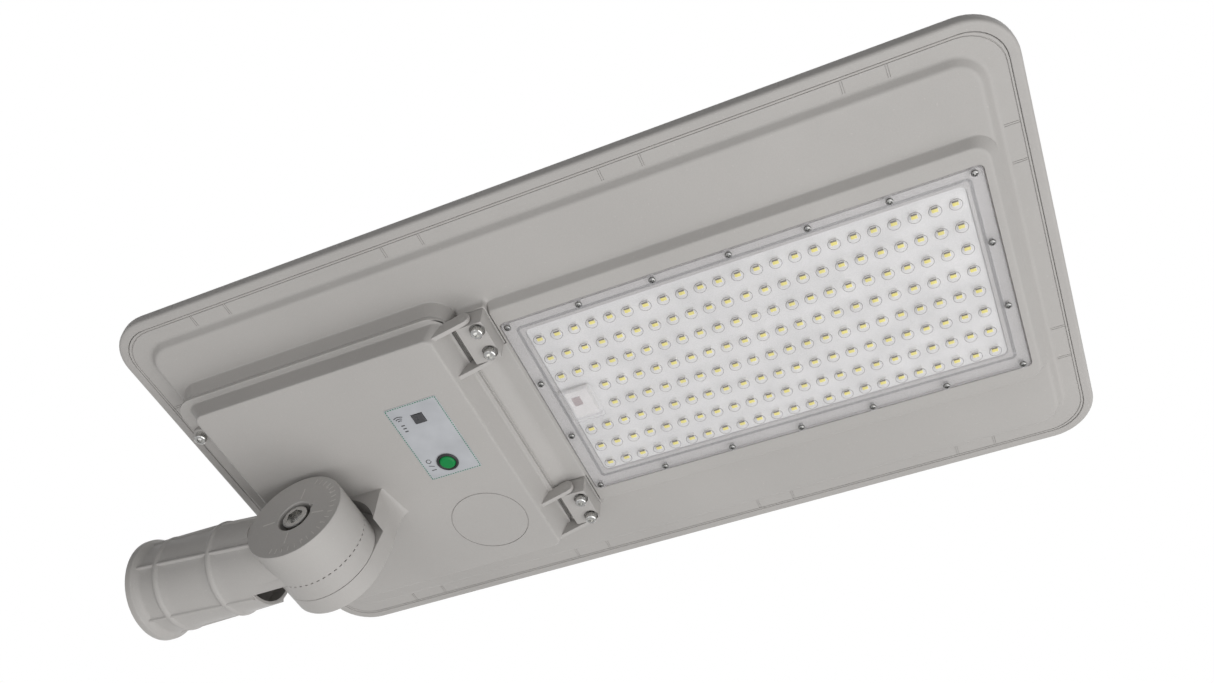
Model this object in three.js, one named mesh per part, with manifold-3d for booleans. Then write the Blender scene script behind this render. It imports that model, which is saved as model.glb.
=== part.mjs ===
// Solar street lamp: a flat lamp body with a solar panel on top and an LED lens plate below,
// hinged to a battery cover that tilts on a knuckle at the end of a sleeve for a round pole.
//
// Frame, in millimetres: the origin is the centre of the sleeve's mouth, +X runs along the
// sleeve towards the far end of the lamp, +Z points up to the solar panel.

import * as THREE from 'three';
import Module from 'manifold-3d';
import { mergeVertices } from 'three/addons/utils/BufferGeometryUtils.js';

const wasm = await Module();
wasm.setup();

// ---------------------------------------------------------------- driving dimensions

const GAP = 0.3;                 // clearance between two pieces that touch
const WALL = 3;                  // casting wall
const SIDES = [-1, 1];           // the -Y and the +Y side

const SLEEVE_BORE = 31;          // radius, for a 60 mm pole
const SLEEVE_RADIUS = 40.5;
const RIB_RADIUS = 43;
const FLANGE_RADIUS = 46;
const SLEEVE_END = 114;          // where the open half of the tube stops
const BORE_FLARE = { radius: 37, from: 96 };   // the bore widens towards its open end
const NECK_TAPER = { from: 96, slope: 0.0045 };   // the upper side sinks towards the knuckle
const RIB_RINGS = [26, 82];      // where the two ring ribs start
const RING_WIDTH = 5;
const RING_FOOT = 6;             // width of the slope on each side of a ring rib
const RIB_WIDTH = 4;
const RIB_FOOT = 3;              // how far a rib reaches into the wall
const RIB_ANGLES = [-37, 12, 82, 143, 191, 264];   // at the mouth, degrees from -Y towards -Z
const RIB_TWIST = 0.11;          // degrees for each millimetre along the sleeve
const RIB_ENDS = { x0: 3, open: SLEEVE_END - 1, knuckle: 139 };
const SET_SCREW = { x: [16, 56], radius: 5, head: 9, z: [32, 54], headBottom: 47 };

const KNUCKLE_X = 169;           // tilt axis, along Y at Z = 0
const KNUCKLE_RADIUS = 45.6;
const FIXED_DISC = [-39, 0];     // span in Y of each disc of the knuckle
const INDEX_RING = [0.3, 20];
const TILT_DISC = [20.3, 40];
const BOLT_RADIUS = 8;
const BOLT_HOLE = 8.5;
const BOLT_HEAD = { radius: 12, length: 15 };
const BOLT_RECESS = { radius: 15.6, depth: 19 };
const NUT_ACROSS_FLATS = 24;
const POCKET_RADIUS = 53.2;      // hollow in the arm root, round the fixed disc
const ROOT_FRONT = 220;          // X of the arm root's front face

const PANEL = { x0: 53.4, x1: 838, y0: -213, y1: 213, r: 40 };
const PANEL_BOTTOM = 99;
const PANEL_TOP = 112;
const RIM_ROUND = 5;
const GROOVE_INSET = 8.8;        // from the panel's edge to the parting groove
const LEDGE_INSET = 16;
const LEDGE = [103.3, 105.4];
const CELLS = [105.7, 107.2];
const GLASS = [107.5, 110.7];

const FLANGE_BOTTOM = 99.2;
const FLANGE_TOP = 103;
const STEP_ONE = { z: 92.5, top: { x0: 84, x1: 806, y: 183.5 }, base: { x0: 79, x1: 812.5, y: 188.5 } };
const STEP_TWO = { z: 83, top: { x0: 386.8, x1: 799, y: 120 }, base: { x0: 386, x1: 807, y: 125 } };
const PLINTH = { z: 76.2, top: { x0: 86, x1: 355.5, y: 139 }, base: { x0: 85, x1: 357.5, y: 142.5 } };
const STEP_CORNER = 22;
const BAY = { x0: 103, x1: 343, y: 127, ceiling: 95.5, roof: 98.5 };

const LENS = { x0: 389.4, x1: 791.8, y: 104, r: 4, z0: 82.4, z1: 86 };
const WINDOW = { x0: 407, x1: 774, y: 88 };
const BUMP = { x0: 404, x1: 435, y: 20, z: 79.2 };
const LENS_SCREW_Y = 99.6;
const LENS_SCREW_X = [395, 785];
const SCREWS_PER_SIDE = 7;
const END_SCREW_Y = 33;
const SCREW_SHANK = 1.8;

const COVER_FACE = { x0: 111, x1: 342, y: 132, z: 52.5 };
const COVER_FOOT = { x0: 98.5, x1: 351.5, y: 133.8, z: 72 };
const LIP = { x0: 86.5, x1: 355, y: 139.3, z1: 75.6 };
const GASKET = { x0: 98.6, x1: 350, y: 135.6, width: 3, z0: 75.9, z1: 78.2 };
const COVER_SCREW = { x: 94.5, y: 102.5, radius: 3, hole: 4.2 };   // hole: in the housing

const HINGE = { x: 368, z: 72 };
const PIN_RADIUS = 3;
const EAR_RADIUS = 7;
const EARS = [[80.4, 84.6], [125.4, 129.6]];
const HINGE_PAD = { x0: 357, x1: 388, y0: 83, y1: 127, z: 84 };
const BRIDGE = { y: 79.4, x0: 353, low: 356.5, lowZ: 77.5, high: 372 };   // plinth to step two
const BLOCK = { x0: 361, x1: 384.6, y0: 85, y1: 125, z0: 65, z1: 83.7 };
const BLOCK_SCREW = { x: 378, y: [94, 118], radius: 3 };

const LABEL = { x0: 269, x1: 319, y0: -78, y1: 11 };
const BUTTON = { x: 293, y: -5, radius: 7.2 };
const RECEIVER = { x: 294, y: -60, half: 5.2 };

// ---------------------------------------------------------------- solids

function solid(geometry) {
  const bare = geometry.clone();
  bare.deleteAttribute('normal');
  bare.deleteAttribute('uv');
  const merged = mergeVertices(bare, 1e-4);
  const triVerts = new Uint32Array(merged.index.array);
  const vertProperties = new Float32Array(merged.attributes.position.array);
  return new wasm.Manifold(new wasm.Mesh({ numProp: 3, vertProperties, triVerts }));
}

function geometryOf(body) {
  const mesh = body.getMesh();
  const geometry = new THREE.BufferGeometry();
  geometry.setAttribute('position', new THREE.BufferAttribute(mesh.vertProperties, 3));
  geometry.setIndex(new THREE.BufferAttribute(mesh.triVerts, 1));
  geometry.computeVertexNormals();
  return geometry;
}

const join = (first, ...others) => others.reduce((sum, one) => sum.add(one), first);
const cut = (first, ...others) => others.reduce((rest, one) => rest.subtract(one), first);

function roundedRect({ x0, x1, y0, y1 }, r) {
  const shape = new THREE.Shape();
  shape.absarc(x1 - r, y1 - r, r, 0, Math.PI / 2);
  shape.absarc(x0 + r, y1 - r, r, Math.PI / 2, Math.PI);
  shape.absarc(x0 + r, y0 + r, r, Math.PI, 1.5 * Math.PI);
  shape.absarc(x1 - r, y0 + r, r, 1.5 * Math.PI, 2 * Math.PI);
  return shape;
}

const centred = ({ x0, x1, y }) => ({ x0, x1, y0: -y, y1: y });

const inset = ({ x0, x1, y0, y1 }, d) => ({ x0: x0 + d, x1: x1 - d, y0: y0 + d, y1: y1 - d });

// A plate with round corners, from z0 to z1.
function plate(rect, r, z0, z1, curveSegments = 4) {
  const geometry = new THREE.ExtrudeGeometry(roundedRect(rect, r), {
    depth: z1 - z0, bevelEnabled: false, curveSegments,
  });
  geometry.translate(0, 0, z0);
  return geometry;
}

// A plate whose sides slope: rect low at z0, rect high at z1.
function tapered(low, high, r, z0, z1, curveSegments = 4) {
  const geometry = plate(low, r, z0, z1, curveSegments);
  const p = geometry.attributes.position;
  const map = (v, a0, a1, b0, b1) => b0 + ((v - a0) * (b1 - b0)) / (a1 - a0);
  for (let i = 0; i < p.count; i += 1) {
    if (p.getZ(i) > (z0 + z1) / 2) {
      p.setX(i, map(p.getX(i), low.x0, low.x1, high.x0, high.x1));
      p.setY(i, map(p.getY(i), low.y0, low.y1, high.y0, high.y1));
    }
  }
  return geometry;
}

function box(x0, x1, y0, y1, z0, z1) {
  const geometry = new THREE.BoxGeometry(x1 - x0, y1 - y0, z1 - z0);
  geometry.translate((x0 + x1) / 2, (y0 + y1) / 2, (z0 + z1) / 2);
  return geometry;
}

function rodX(radius, x0, x1, segments = 40) {
  const geometry = new THREE.CylinderGeometry(radius, radius, x1 - x0, segments);
  geometry.rotateZ(-Math.PI / 2);
  geometry.translate((x0 + x1) / 2, 0, 0);
  return geometry;
}

function rodY(radius, y0, y1, x, z, segments = 40) {
  const geometry = new THREE.CylinderGeometry(radius, radius, y1 - y0, segments);
  geometry.translate(x, (y0 + y1) / 2, z);
  return geometry;
}

function rodZ(radius, z0, z1, x, y, segments = 12) {
  const geometry = new THREE.CylinderGeometry(radius, radius, z1 - z0, segments);
  geometry.rotateX(Math.PI / 2);
  geometry.translate(x, y, (z0 + z1) / 2);
  return geometry;
}

// An outline in X and Z, extruded along Y from y0 to y1.
function acrossY(shape, y0, y1, curveSegments = 8) {
  const geometry = new THREE.ExtrudeGeometry(shape, {
    depth: y1 - y0, bevelEnabled: false, curveSegments,
  });
  geometry.rotateX(Math.PI / 2);
  geometry.translate(0, y1, 0);
  return geometry;
}

function polygon(points) {
  return new THREE.Shape(points.map(([x, y]) => new THREE.Vector2(x, y)));
}

// A turned piece on the Z axis: points are [radius, z] and start and end on the axis.
function turned(points, segments = 16) {
  const geometry = new THREE.LatheGeometry(points.map(([r, z]) => new THREE.Vector2(r, z)), segments);
  geometry.rotateX(Math.PI / 2);
  return geometry;
}

// A screw driven upwards: head below z = 0, shank above it.
function screw(headRadius, headHeight, shankRadius, length, segments) {
  return turned([
    [0, -headHeight], [headRadius * 0.72, -headHeight], [headRadius, -headHeight * 0.6],
    [headRadius, 0], [shankRadius, 0], [shankRadius, length], [0, length],
  ], segments);
}

function capScrew(headRadius, headHeight, socketRadius, shankRadius, length) {
  return turned([
    [0, -headHeight * 0.4], [socketRadius, -headHeight * 0.4], [socketRadius, -headHeight],
    [headRadius, -headHeight], [headRadius, 0], [shankRadius, 0], [shankRadius, length], [0, length],
  ], 12);
}

// ---------------------------------------------------------------- materials

function paint(color, roughness, metalness) {
  return new THREE.MeshStandardMaterial({ color, roughness, metalness });
}

const castPaint = () => paint(0xb4b1ac, 0.5, 0.1);
const steel = () => paint(0xc2c2c0, 0.25, 0.95);
const rubber = () => paint(0x2a2a2b, 0.85, 0);

const lamp = new THREE.Group();
const poleArm = new THREE.Group();
const mountCover = new THREE.Group();
const powerButton = new THREE.Group();
const lampBody = new THREE.Group();
lamp.add(poleArm, mountCover, lampBody);
mountCover.add(powerButton);

function addPart(group, name, geometry, material) {
  const mesh = new THREE.Mesh(geometry, material);
  mesh.name = name;
  group.add(mesh);
  return mesh;
}

// ---------------------------------------------------------------- pole arm

// The space in front of the fixed disc's face, which the neck and its ribs stay out of.
const pastFace = () => solid(rodY(KNUCKLE_RADIUS, FIXED_DISC[0] - 10, FIXED_DISC[0], KNUCKLE_X, 0));

// A rib along the sleeve, turning a little about its axis on the way.
function sleeveRib(degrees) {
  const towardsKnuckle = Math.cos(THREE.MathUtils.degToRad(degrees)) > 0.5;
  const length = (towardsKnuckle ? RIB_ENDS.knuckle : RIB_ENDS.open) - RIB_ENDS.x0;
  const height = RIB_RADIUS - SLEEVE_RADIUS + RIB_FOOT;
  const rib = new THREE.BoxGeometry(length, height, RIB_WIDTH, 10, 1, 1);
  rib.translate(RIB_ENDS.x0 + length / 2, height / 2 - RIB_RADIUS, 0);
  const p = rib.attributes.position;
  for (let i = 0; i < p.count; i += 1) {
    const angle = THREE.MathUtils.degToRad(degrees + RIB_TWIST * p.getX(i));
    const [y, z] = [p.getY(i), p.getZ(i)];
    p.setY(i, y * Math.cos(angle) - z * Math.sin(angle));
    p.setZ(i, y * Math.sin(angle) + z * Math.cos(angle));
  }
  return solid(rib);
}

function poleSleeve() {
  const profile = [
    [SLEEVE_BORE, 0], [FLANGE_RADIUS, 0], [FLANGE_RADIUS, 6], [SLEEVE_RADIUS + 1, 10],
    [SLEEVE_RADIUS, 15],
    ...RIB_RINGS.flatMap((x) => [
      [SLEEVE_RADIUS, x - RING_FOOT], [RIB_RADIUS, x], [RIB_RADIUS, x + RING_WIDTH],
      [SLEEVE_RADIUS, x + RING_WIDTH + RING_FOOT],
    ]),
    [SLEEVE_RADIUS, SLEEVE_END], [BORE_FLARE.radius, SLEEVE_END],
    [SLEEVE_BORE, BORE_FLARE.from], [SLEEVE_BORE, 0],
  ];
  const tube = new THREE.LatheGeometry(profile.map(([r, x]) => new THREE.Vector2(r, x)), 40);
  tube.rotateZ(-Math.PI / 2);
  const halfNeck = cut(
    solid(rodX(SLEEVE_RADIUS, SLEEVE_END - 1, KNUCKLE_X)),
    solid(box(SLEEVE_END - 2, KNUCKLE_X + 1, FIXED_DISC[1], 60, -60, 60)),
  );
  const tapered = join(solid(tube), ...RIB_ANGLES.map(sleeveRib), halfNeck).warp((point) => {
    if (point[0] > NECK_TAPER.from && point[2] > 0) {
      point[2] *= 1 - NECK_TAPER.slope * (point[0] - NECK_TAPER.from);
    }
  });
  const disc = solid(rodY(KNUCKLE_RADIUS, ...FIXED_DISC, KNUCKLE_X, 0));
  const recessFloor = FIXED_DISC[0] + BOLT_RECESS.depth;
  return cut(
    join(cut(tapered, pastFace()), disc),
    solid(rodY(BOLT_HOLE, FIXED_DISC[0] - 1, FIXED_DISC[1] + 1, KNUCKLE_X, 0, 24)),
    solid(rodY(BOLT_RECESS.radius, FIXED_DISC[0] - 1, recessFloor, KNUCKLE_X, 0, 32)),
    ...SET_SCREW.x.map((x) => (
      solid(rodZ(SET_SCREW.radius + GAP, SLEEVE_BORE - 2, FLANGE_RADIUS, x, 0)))),
  );
}

// A hexagon-headed clamp screw, point down, with its head on top.
function setScrew() {
  const [bottom, top] = SET_SCREW.z;
  const shank = rodZ(SET_SCREW.radius, bottom, SET_SCREW.headBottom + 1, 0, 0);
  const head = rodZ(SET_SCREW.head, SET_SCREW.headBottom, top, 0, 0, 6);
  return join(solid(shank), solid(head));
}

const headEnd = FIXED_DISC[0] + BOLT_RECESS.depth - 3.2;
const NUT = [30.3, 43];

function tiltBolt() {
  const headStart = headEnd - BOLT_HEAD.length;
  const head = solid(rodY(BOLT_HEAD.radius, headStart, headEnd, KNUCKLE_X, 0, 32));
  const socket = solid(rodY(8, headStart - 1, headStart + 8, KNUCKLE_X, 0, 6));
  const shank = solid(rodY(BOLT_RADIUS, headEnd - 1, NUT[1] + 4, KNUCKLE_X, 0, 24));
  return join(cut(head, socket), shank);
}

function tiltWasher() {
  const disc = solid(rodY(14.5, headEnd + GAP, headEnd + 2.9, KNUCKLE_X, 0, 32));
  return cut(disc, solid(rodY(BOLT_HOLE, headEnd - 1, headEnd + 4, KNUCKLE_X, 0, 24)));
}

addPart(poleArm, 'pole_sleeve', geometryOf(poleSleeve()), castPaint());
SET_SCREW.x.forEach((x, i) => {
  addPart(poleArm, `pole_set_screw_${i + 1}`, geometryOf(setScrew()), steel()).position.x = x;
});
addPart(poleArm, 'tilt_bolt', geometryOf(tiltBolt()), steel());
addPart(poleArm, 'tilt_bolt_washer', geometryOf(tiltWasher()), steel());

// ---------------------------------------------------------------- mount cover

const mirrorY = ([a, b], side) => (side > 0 ? [a, b] : [-b, -a]);

// The plate of a hinge ear: a gusset from the cover's front wall to a round end on the pin.
function earShape() {
  const { x, z } = HINGE;
  const start = THREE.MathUtils.degToRad(-78);
  const shape = new THREE.Shape();
  shape.moveTo(338, 75.4);
  shape.lineTo(338, 55.5);
  shape.absarc(x, z, EAR_RADIUS, start, Math.PI / 2, false);
  shape.lineTo(361.5, 77.5);
  shape.lineTo(359.5, 75.4);
  return shape;
}

function armRoot() {
  const disc = solid(rodY(KNUCKLE_RADIUS, ...TILT_DISC, KNUCKLE_X, 0));
  const neck = polygon([
    [130, 55], [127, 18], [KNUCKLE_X, 0], [213, -12],
    [ROOT_FRONT, 14], [ROOT_FRONT, 44], [229, 53], [229, 55],
  ]);
  const column = polygon([
    [150, 55], [150, 40], [200, 16.5], [ROOT_FRONT, 16.5], [ROOT_FRONT, 48], [225, 53], [225, 55],
  ]);
  const pocket = solid(rodY(POCKET_RADIUS, 0, TILT_DISC[0], KNUCKLE_X, 0));
  return cut(
    join(disc, solid(acrossY(neck, ...TILT_DISC)), cut(solid(acrossY(column, 3, 25)), pocket)),
    solid(rodY(BOLT_HOLE, TILT_DISC[0] - 1, TILT_DISC[1] + 1, KNUCKLE_X, 0, 24)),
    solid(rodY(NUT_ACROSS_FLATS / Math.sqrt(3) + 0.6, NUT[0] - GAP, TILT_DISC[1] + 1, KNUCKLE_X, 0, 6)),
  );
}

function coverShell() {
  const face = centred(COVER_FACE);
  const foot = centred(COVER_FOOT);
  const outside = join(
    solid(tapered(face, foot, 8, COVER_FACE.z, COVER_FOOT.z + 0.2)),
    solid(plate(centred(LIP), 18, COVER_FOOT.z, LIP.z1)),
    ...SIDES.map((side) => solid(rodZ(7.5, 67.3, 73, COVER_SCREW.x, side * COVER_SCREW.y, 20))),
  );
  const hollow = tapered(
    inset(face, WALL + 1), inset(foot, WALL), 6, COVER_FACE.z + WALL, LIP.z1 + 1,
  );
  const ears = SIDES.flatMap((side) => EARS.map((span) => (
    cut(
      solid(acrossY(earShape(), ...mirrorY(span, side))),
      solid(rodY(PIN_RADIUS + GAP, -140, 140, HINGE.x, HINGE.z, 16)),
    )
  )));
  const openings = [
    rodZ(9, 40, 60, BUTTON.x, BUTTON.y, 20),
    plate(centred({ x0: RECEIVER.x - 5.6, x1: RECEIVER.x + 5.6, y: 5.6 }), 0.8, 40, 60, 2)
      .translate(0, RECEIVER.y, 0),
    ...SIDES.map((side) => (
      rodZ(COVER_SCREW.radius + GAP, 60, 80, COVER_SCREW.x, side * COVER_SCREW.y))),
  ].map(solid);
  return cut(
    join(cut(outside, solid(hollow)), ...ears.map((ear) => cut(ear, solid(hollow))), armRoot()),
    ...openings,
  );
}

function tiltIndexRing() {
  return cut(
    solid(rodY(KNUCKLE_RADIUS, ...INDEX_RING, KNUCKLE_X, 0)),
    solid(rodY(BOLT_HOLE, -1, 21, KNUCKLE_X, 0, 24)),
  );
}

function tiltNut() {
  return cut(
    solid(rodY(NUT_ACROSS_FLATS / Math.sqrt(3), ...NUT, KNUCKLE_X, 0, 6)),
    solid(rodY(BOLT_RADIUS + GAP, NUT[0] - 1, NUT[1] + 1, KNUCKLE_X, 0, 24)),
  );
}

function coverGasket() {
  const outer = centred(GASKET);
  return cut(
    solid(plate(outer, 10, GASKET.z0, GASKET.z1)),
    solid(plate(inset(outer, GASKET.width), 7, GASKET.z0 - 1, GASKET.z1 + 1)),
  );
}

const LABEL_Z = [51.8, 52.2];

function controlLabel() {
  const receiver = { x0: RECEIVER.x - 5.8, x1: RECEIVER.x + 5.8, y: 5.8 };
  return cut(
    solid(plate(LABEL, 1.5, ...LABEL_Z, 2)),
    solid(rodZ(9.2, 50, 54, BUTTON.x, BUTTON.y, 20)),
    solid(plate(centred(receiver), 0.8, 50, 54, 2).translate(0, RECEIVER.y, 0)),
  );
}

function switchBody() {
  return cut(
    join(
      solid(rodZ(8.7, 50.4, 68, BUTTON.x, BUTTON.y, 20)),
      solid(rodZ(10, 50.4, 51.5, BUTTON.x, BUTTON.y, 20)),
      solid(box(BUTTON.x - 7, BUTTON.x + 7, BUTTON.y - 7, BUTTON.y + 7, 67, 71)),
    ),
    solid(rodZ(BUTTON.radius + GAP, 49, 62, BUTTON.x, BUTTON.y, 20)),
  );
}

addPart(mountCover, 'mount_cover', geometryOf(coverShell()), castPaint());
addPart(mountCover, 'tilt_index_ring', geometryOf(tiltIndexRing()), castPaint());
addPart(mountCover, 'tilt_nut', geometryOf(tiltNut()), steel());
addPart(mountCover, 'cover_gasket', geometryOf(coverGasket()), rubber());
addPart(mountCover, 'control_label', geometryOf(controlLabel()), paint(0xbfc4c8, 0.45, 0));
addPart(
  mountCover, 'receiver_window',
  plate(centred({ x0: -RECEIVER.half, x1: RECEIVER.half, y: RECEIVER.half }), 0.6, 51, 56, 2),
  paint(0x3c3c3e, 0.3, 0),
).position.set(RECEIVER.x, RECEIVER.y, 0);
addPart(mountCover, 'switch_body', geometryOf(switchBody()), paint(0x1c1c1d, 0.5, 0));
SIDES.forEach((side, i) => {
  const [y0, y1] = mirrorY([EARS[0][0] - 0.6, EARS[1][1] + 0.6], side);
  const pin = rodY(PIN_RADIUS, y0, y1, HINGE.x, HINGE.z, 16);
  addPart(mountCover, `hinge_pin_${i + 1}`, pin, steel());
  addPart(mountCover, `cover_screw_${i + 1}`, capScrew(5.2, 6, 2.6, COVER_SCREW.radius, 16), steel())
    .position.set(COVER_SCREW.x, side * COVER_SCREW.y, 67);
});
addPart(
  powerButton, 'power_button',
  turned([
    [0, 49.2], [5.6, 49.2], [BUTTON.radius, 50.2], [BUTTON.radius, 58], [0, 58],
  ], 24),
  paint(0x00963c, 0.35, 0),
).position.set(BUTTON.x, BUTTON.y, 0);

// ---------------------------------------------------------------- lamp body

function lensScrewPlaces() {
  const [first, last] = LENS_SCREW_X;
  const places = [];
  for (const side of SIDES) {
    for (let i = 0; i < SCREWS_PER_SIDE; i += 1) {
      const x = first + ((last - first) * i) / (SCREWS_PER_SIDE - 1);
      places.push([x, side * LENS_SCREW_Y]);
    }
    places.push([first, side * END_SCREW_Y], [last, side * END_SCREW_Y]);
  }
  return places;
}

const lensScrews = lensScrewPlaces();
const LEAD_IN = [320, 40];
const LEAD_OUT = [420, 0];
const LEAD_HOLE = 6;

function backHousing() {
  const panel = inset(PANEL, GROOVE_INSET + GAP);
  const flange = solid(plate(panel, PANEL.r - GROOVE_INSET, FLANGE_BOTTOM, FLANGE_TOP));
  const one = tapered(
    centred(STEP_ONE.top), centred(STEP_ONE.base), STEP_CORNER, STEP_ONE.z, FLANGE_BOTTOM + 1,
  );
  const two = tapered(
    centred(STEP_TWO.top), centred(STEP_TWO.base), 14, STEP_TWO.z, STEP_ONE.z + 1,
  );
  const plinth = tapered(
    centred(PLINTH.top), centred(PLINTH.base), 20, PLINTH.z, STEP_ONE.z + 1,
  );
  const bay = centred(BAY);
  const lens = centred(LENS);
  const pockets = [
    plate(inset(centred(STEP_ONE.top), WALL), STEP_CORNER - WALL, BAY.roof, FLANGE_TOP + 1),
    plate({ x0: BAY.x1 + WALL, x1: STEP_ONE.top.x1 - WALL, y0: -180, y1: 180 }, 15, BAY.ceiling, 100),
    plate(bay, 10, PLINTH.z - 1, BAY.ceiling),
    plate(inset(lens, -0.5), LENS.r, 70, LENS.z1 + GAP),
    plate(inset(lens, 15), 6, 80, 90),
    rodZ(LEAD_HOLE, 90, 100, ...LEAD_IN),
    rodZ(LEAD_HOLE, 85, 100, ...LEAD_OUT),
    ...SIDES.map((side) => rodZ(COVER_SCREW.hole, 70, 84, COVER_SCREW.x, side * COVER_SCREW.y)),
    ...SIDES.flatMap((side) => BLOCK_SCREW.y.map((y) => (
      rodZ(BLOCK_SCREW.radius + GAP, 80, 96, BLOCK_SCREW.x, side * y)))),
    ...lensScrews.map(([x, y]) => rodZ(SCREW_SHANK + GAP, 84, 92, x, y, 6)),
  ].map(solid);
  const gasketGroove = cut(
    solid(plate(inset(lens, 8.7), 5, 84, 88.4)),
    solid(plate(inset(lens, 13.3), 3, 83, 90)),
  );
  const coverGroove = cut(
    solid(plate(inset(centred(GASKET), -GAP), 10, PLINTH.z - 1, GASKET.z1 + GAP)),
    solid(plate(inset(centred(GASKET), GASKET.width + GAP), 7, PLINTH.z - 2, GASKET.z1 + 1)),
  );
  const pads = SIDES.map((side) => {
    const [y0, y1] = mirrorY([HINGE_PAD.y0, HINGE_PAD.y1], side);
    return solid(box(HINGE_PAD.x0, HINGE_PAD.x1, y0, y1, HINGE_PAD.z, STEP_ONE.z + 1));
  });
  const bridge = acrossY(polygon([
    [BRIDGE.x0, STEP_ONE.z + 1], [BRIDGE.x0, BRIDGE.lowZ], [BRIDGE.low, BRIDGE.lowZ],
    [BRIDGE.high, STEP_TWO.z], [HINGE_PAD.x1, STEP_TWO.z], [HINGE_PAD.x1, STEP_ONE.z + 1],
  ]), -BRIDGE.y, BRIDGE.y);
  return cut(
    join(flange, solid(one), solid(two), solid(plinth), solid(bridge), ...pads),
    ...pockets, gasketGroove, coverGroove,
  );
}

function panelFrame() {
  const core = roundedRect(inset(PANEL, RIM_ROUND), PANEL.r - RIM_ROUND);
  const outside = new THREE.ExtrudeGeometry(core, {
    depth: PANEL_TOP - PANEL_BOTTOM - 2 * RIM_ROUND,
    bevelEnabled: true,
    bevelThickness: RIM_ROUND,
    bevelSize: RIM_ROUND,
    bevelSegments: 2,
    curveSegments: 5,
  });
  outside.translate(0, 0, PANEL_BOTTOM + RIM_ROUND);
  const seat = inset(PANEL, GROOVE_INSET);
  const r = PANEL.r - GROOVE_INSET;
  return cut(
    solid(outside),
    solid(plate(seat, r, PANEL_BOTTOM - 1, LEDGE[0])),
    solid(plate(inset(PANEL, LEDGE_INSET), PANEL.r - LEDGE_INSET, PANEL_BOTTOM, PANEL_TOP)),
    solid(plate(seat, r, LEDGE[1], PANEL_TOP + 1)),
  );
}

function lensPlate() {
  const body = join(
    solid(plate(centred(LENS), LENS.r, LENS.z0, LENS.z1)),
    solid(tapered(
      inset(centred(BUMP), 1), centred(BUMP), 3, BUMP.z, LENS.z0 + 0.5, 3,
    )),
  );
  return cut(
    body,
    solid(plate(inset(centred(BUMP), 2.5), 2, BUMP.z + 1.5, LENS.z1 + 1, 3)),
    ...lensScrews.map(([x, y]) => solid(rodZ(SCREW_SHANK + GAP, 80, 88, x, y, 6))),
  );
}

function lensGasket() {
  const lens = centred(LENS);
  return cut(
    solid(plate(inset(lens, 9), 5, LENS.z1 + GAP, 88.1)),
    solid(plate(inset(lens, 13), 3, 85, 90)),
  );
}

function hingeBlock(side) {
  const [y0, y1] = mirrorY([BLOCK.y0, BLOCK.y1], side);
  return cut(
    solid(box(BLOCK.x0, BLOCK.x1, y0, y1, BLOCK.z0, BLOCK.z1)),
    solid(rodY(PIN_RADIUS + GAP, -130, 130, HINGE.x, HINGE.z, 16)),
    ...BLOCK_SCREW.y.map((y) => (
      solid(rodZ(BLOCK_SCREW.radius + GAP, 60, 95, BLOCK_SCREW.x, side * y, 16)))),
  );
}

const BATTERY = { x0: 120, x1: 248, y: 110, z0: 60, z1: 92 };
const STRAP = { x0: 165, x1: 200 };

// A flat strap that passes under the battery and up both of its sides to the roof of the bay.
function batteryStrap() {
  const outer = solid(box(STRAP.x0, STRAP.x1, -BATTERY.y - 3, BATTERY.y + 3, 57.4, BAY.ceiling - GAP));
  const inner = solid(box(
    STRAP.x0 - 1, STRAP.x1 + 1, -BATTERY.y - GAP, BATTERY.y + GAP, BATTERY.z0 - GAP, BAY.ceiling + 1,
  ));
  return cut(outer, inner);
}

function wiringLead() {
  const points = [
    [...LEAD_IN, 90.4], [...LEAD_IN, 96], [323, 39, 100.2], [332, 36, 101.2],
    [370, 20, 101.2], [408, 5, 101.2], [417, 1.2, 100.2], [...LEAD_OUT, 96], [...LEAD_OUT, 90.2],
  ].map(([x, y, z]) => new THREE.Vector3(x, y, z));
  const section = new THREE.Shape();
  section.absarc(0, 0, 2.2, 0, 2 * Math.PI);
  return new THREE.ExtrudeGeometry(section, {
    steps: 24, curveSegments: 4, bevelEnabled: false,
    extrudePath: new THREE.CatmullRomCurve3(points),
  });
}

const laminate = inset(PANEL, GROOVE_INSET + GAP);

addPart(lampBody, 'back_housing', geometryOf(backHousing()), castPaint());
addPart(lampBody, 'panel_frame', geometryOf(panelFrame()), castPaint());
addPart(lampBody, 'solar_cells', plate(laminate, 31, ...CELLS), paint(0x16203a, 0.35, 0.1));
addPart(lampBody, 'solar_glass', plate(laminate, 31, ...GLASS), paint(0x24304a, 0.08, 0));
SIDES.forEach((side, i) => {
  addPart(lampBody, `hinge_block_${i + 1}`, geometryOf(hingeBlock(side)), castPaint());
});
SIDES.flatMap((side) => BLOCK_SCREW.y.map((y) => side * y)).forEach((y, i) => {
  addPart(lampBody, `hinge_block_screw_${i + 1}`, capScrew(5.2, 6, 2.6, BLOCK_SCREW.radius, 30.5), steel())
    .position.set(BLOCK_SCREW.x, y, BLOCK.z0 - GAP);
});
addPart(lampBody, 'lens_plate', geometryOf(lensPlate()), paint(0xd8dadc, 0.12, 0));
addPart(lampBody, 'lens_gasket', geometryOf(lensGasket()), rubber());
addPart(
  lampBody, 'led_board',
  plate(centred({ x0: 405.2, x1: 776, y: 88.4 }), 5, 88.1, 89.7),
  paint(0xeeeeea, 0.6, 0),
);
addPart(lampBody, 'cable_connector', box(409, 430, -15, 15, 81.2, 87.8), paint(0xf2f2ee, 0.5, 0));
lensScrews.forEach(([x, y], i) => {
  const name = `lens_screw_${String(i + 1).padStart(2, '0')}`;
  addPart(lampBody, name, screw(3.5, 2.4, SCREW_SHANK, 9, 8), steel())
    .position.set(x, y, LENS.z0 - GAP);
});
addPart(
  lampBody, 'battery_pack',
  plate(centred(BATTERY), 6, BATTERY.z0, BATTERY.z1, 3),
  paint(0x2c4f86, 0.5, 0),
);
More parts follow.
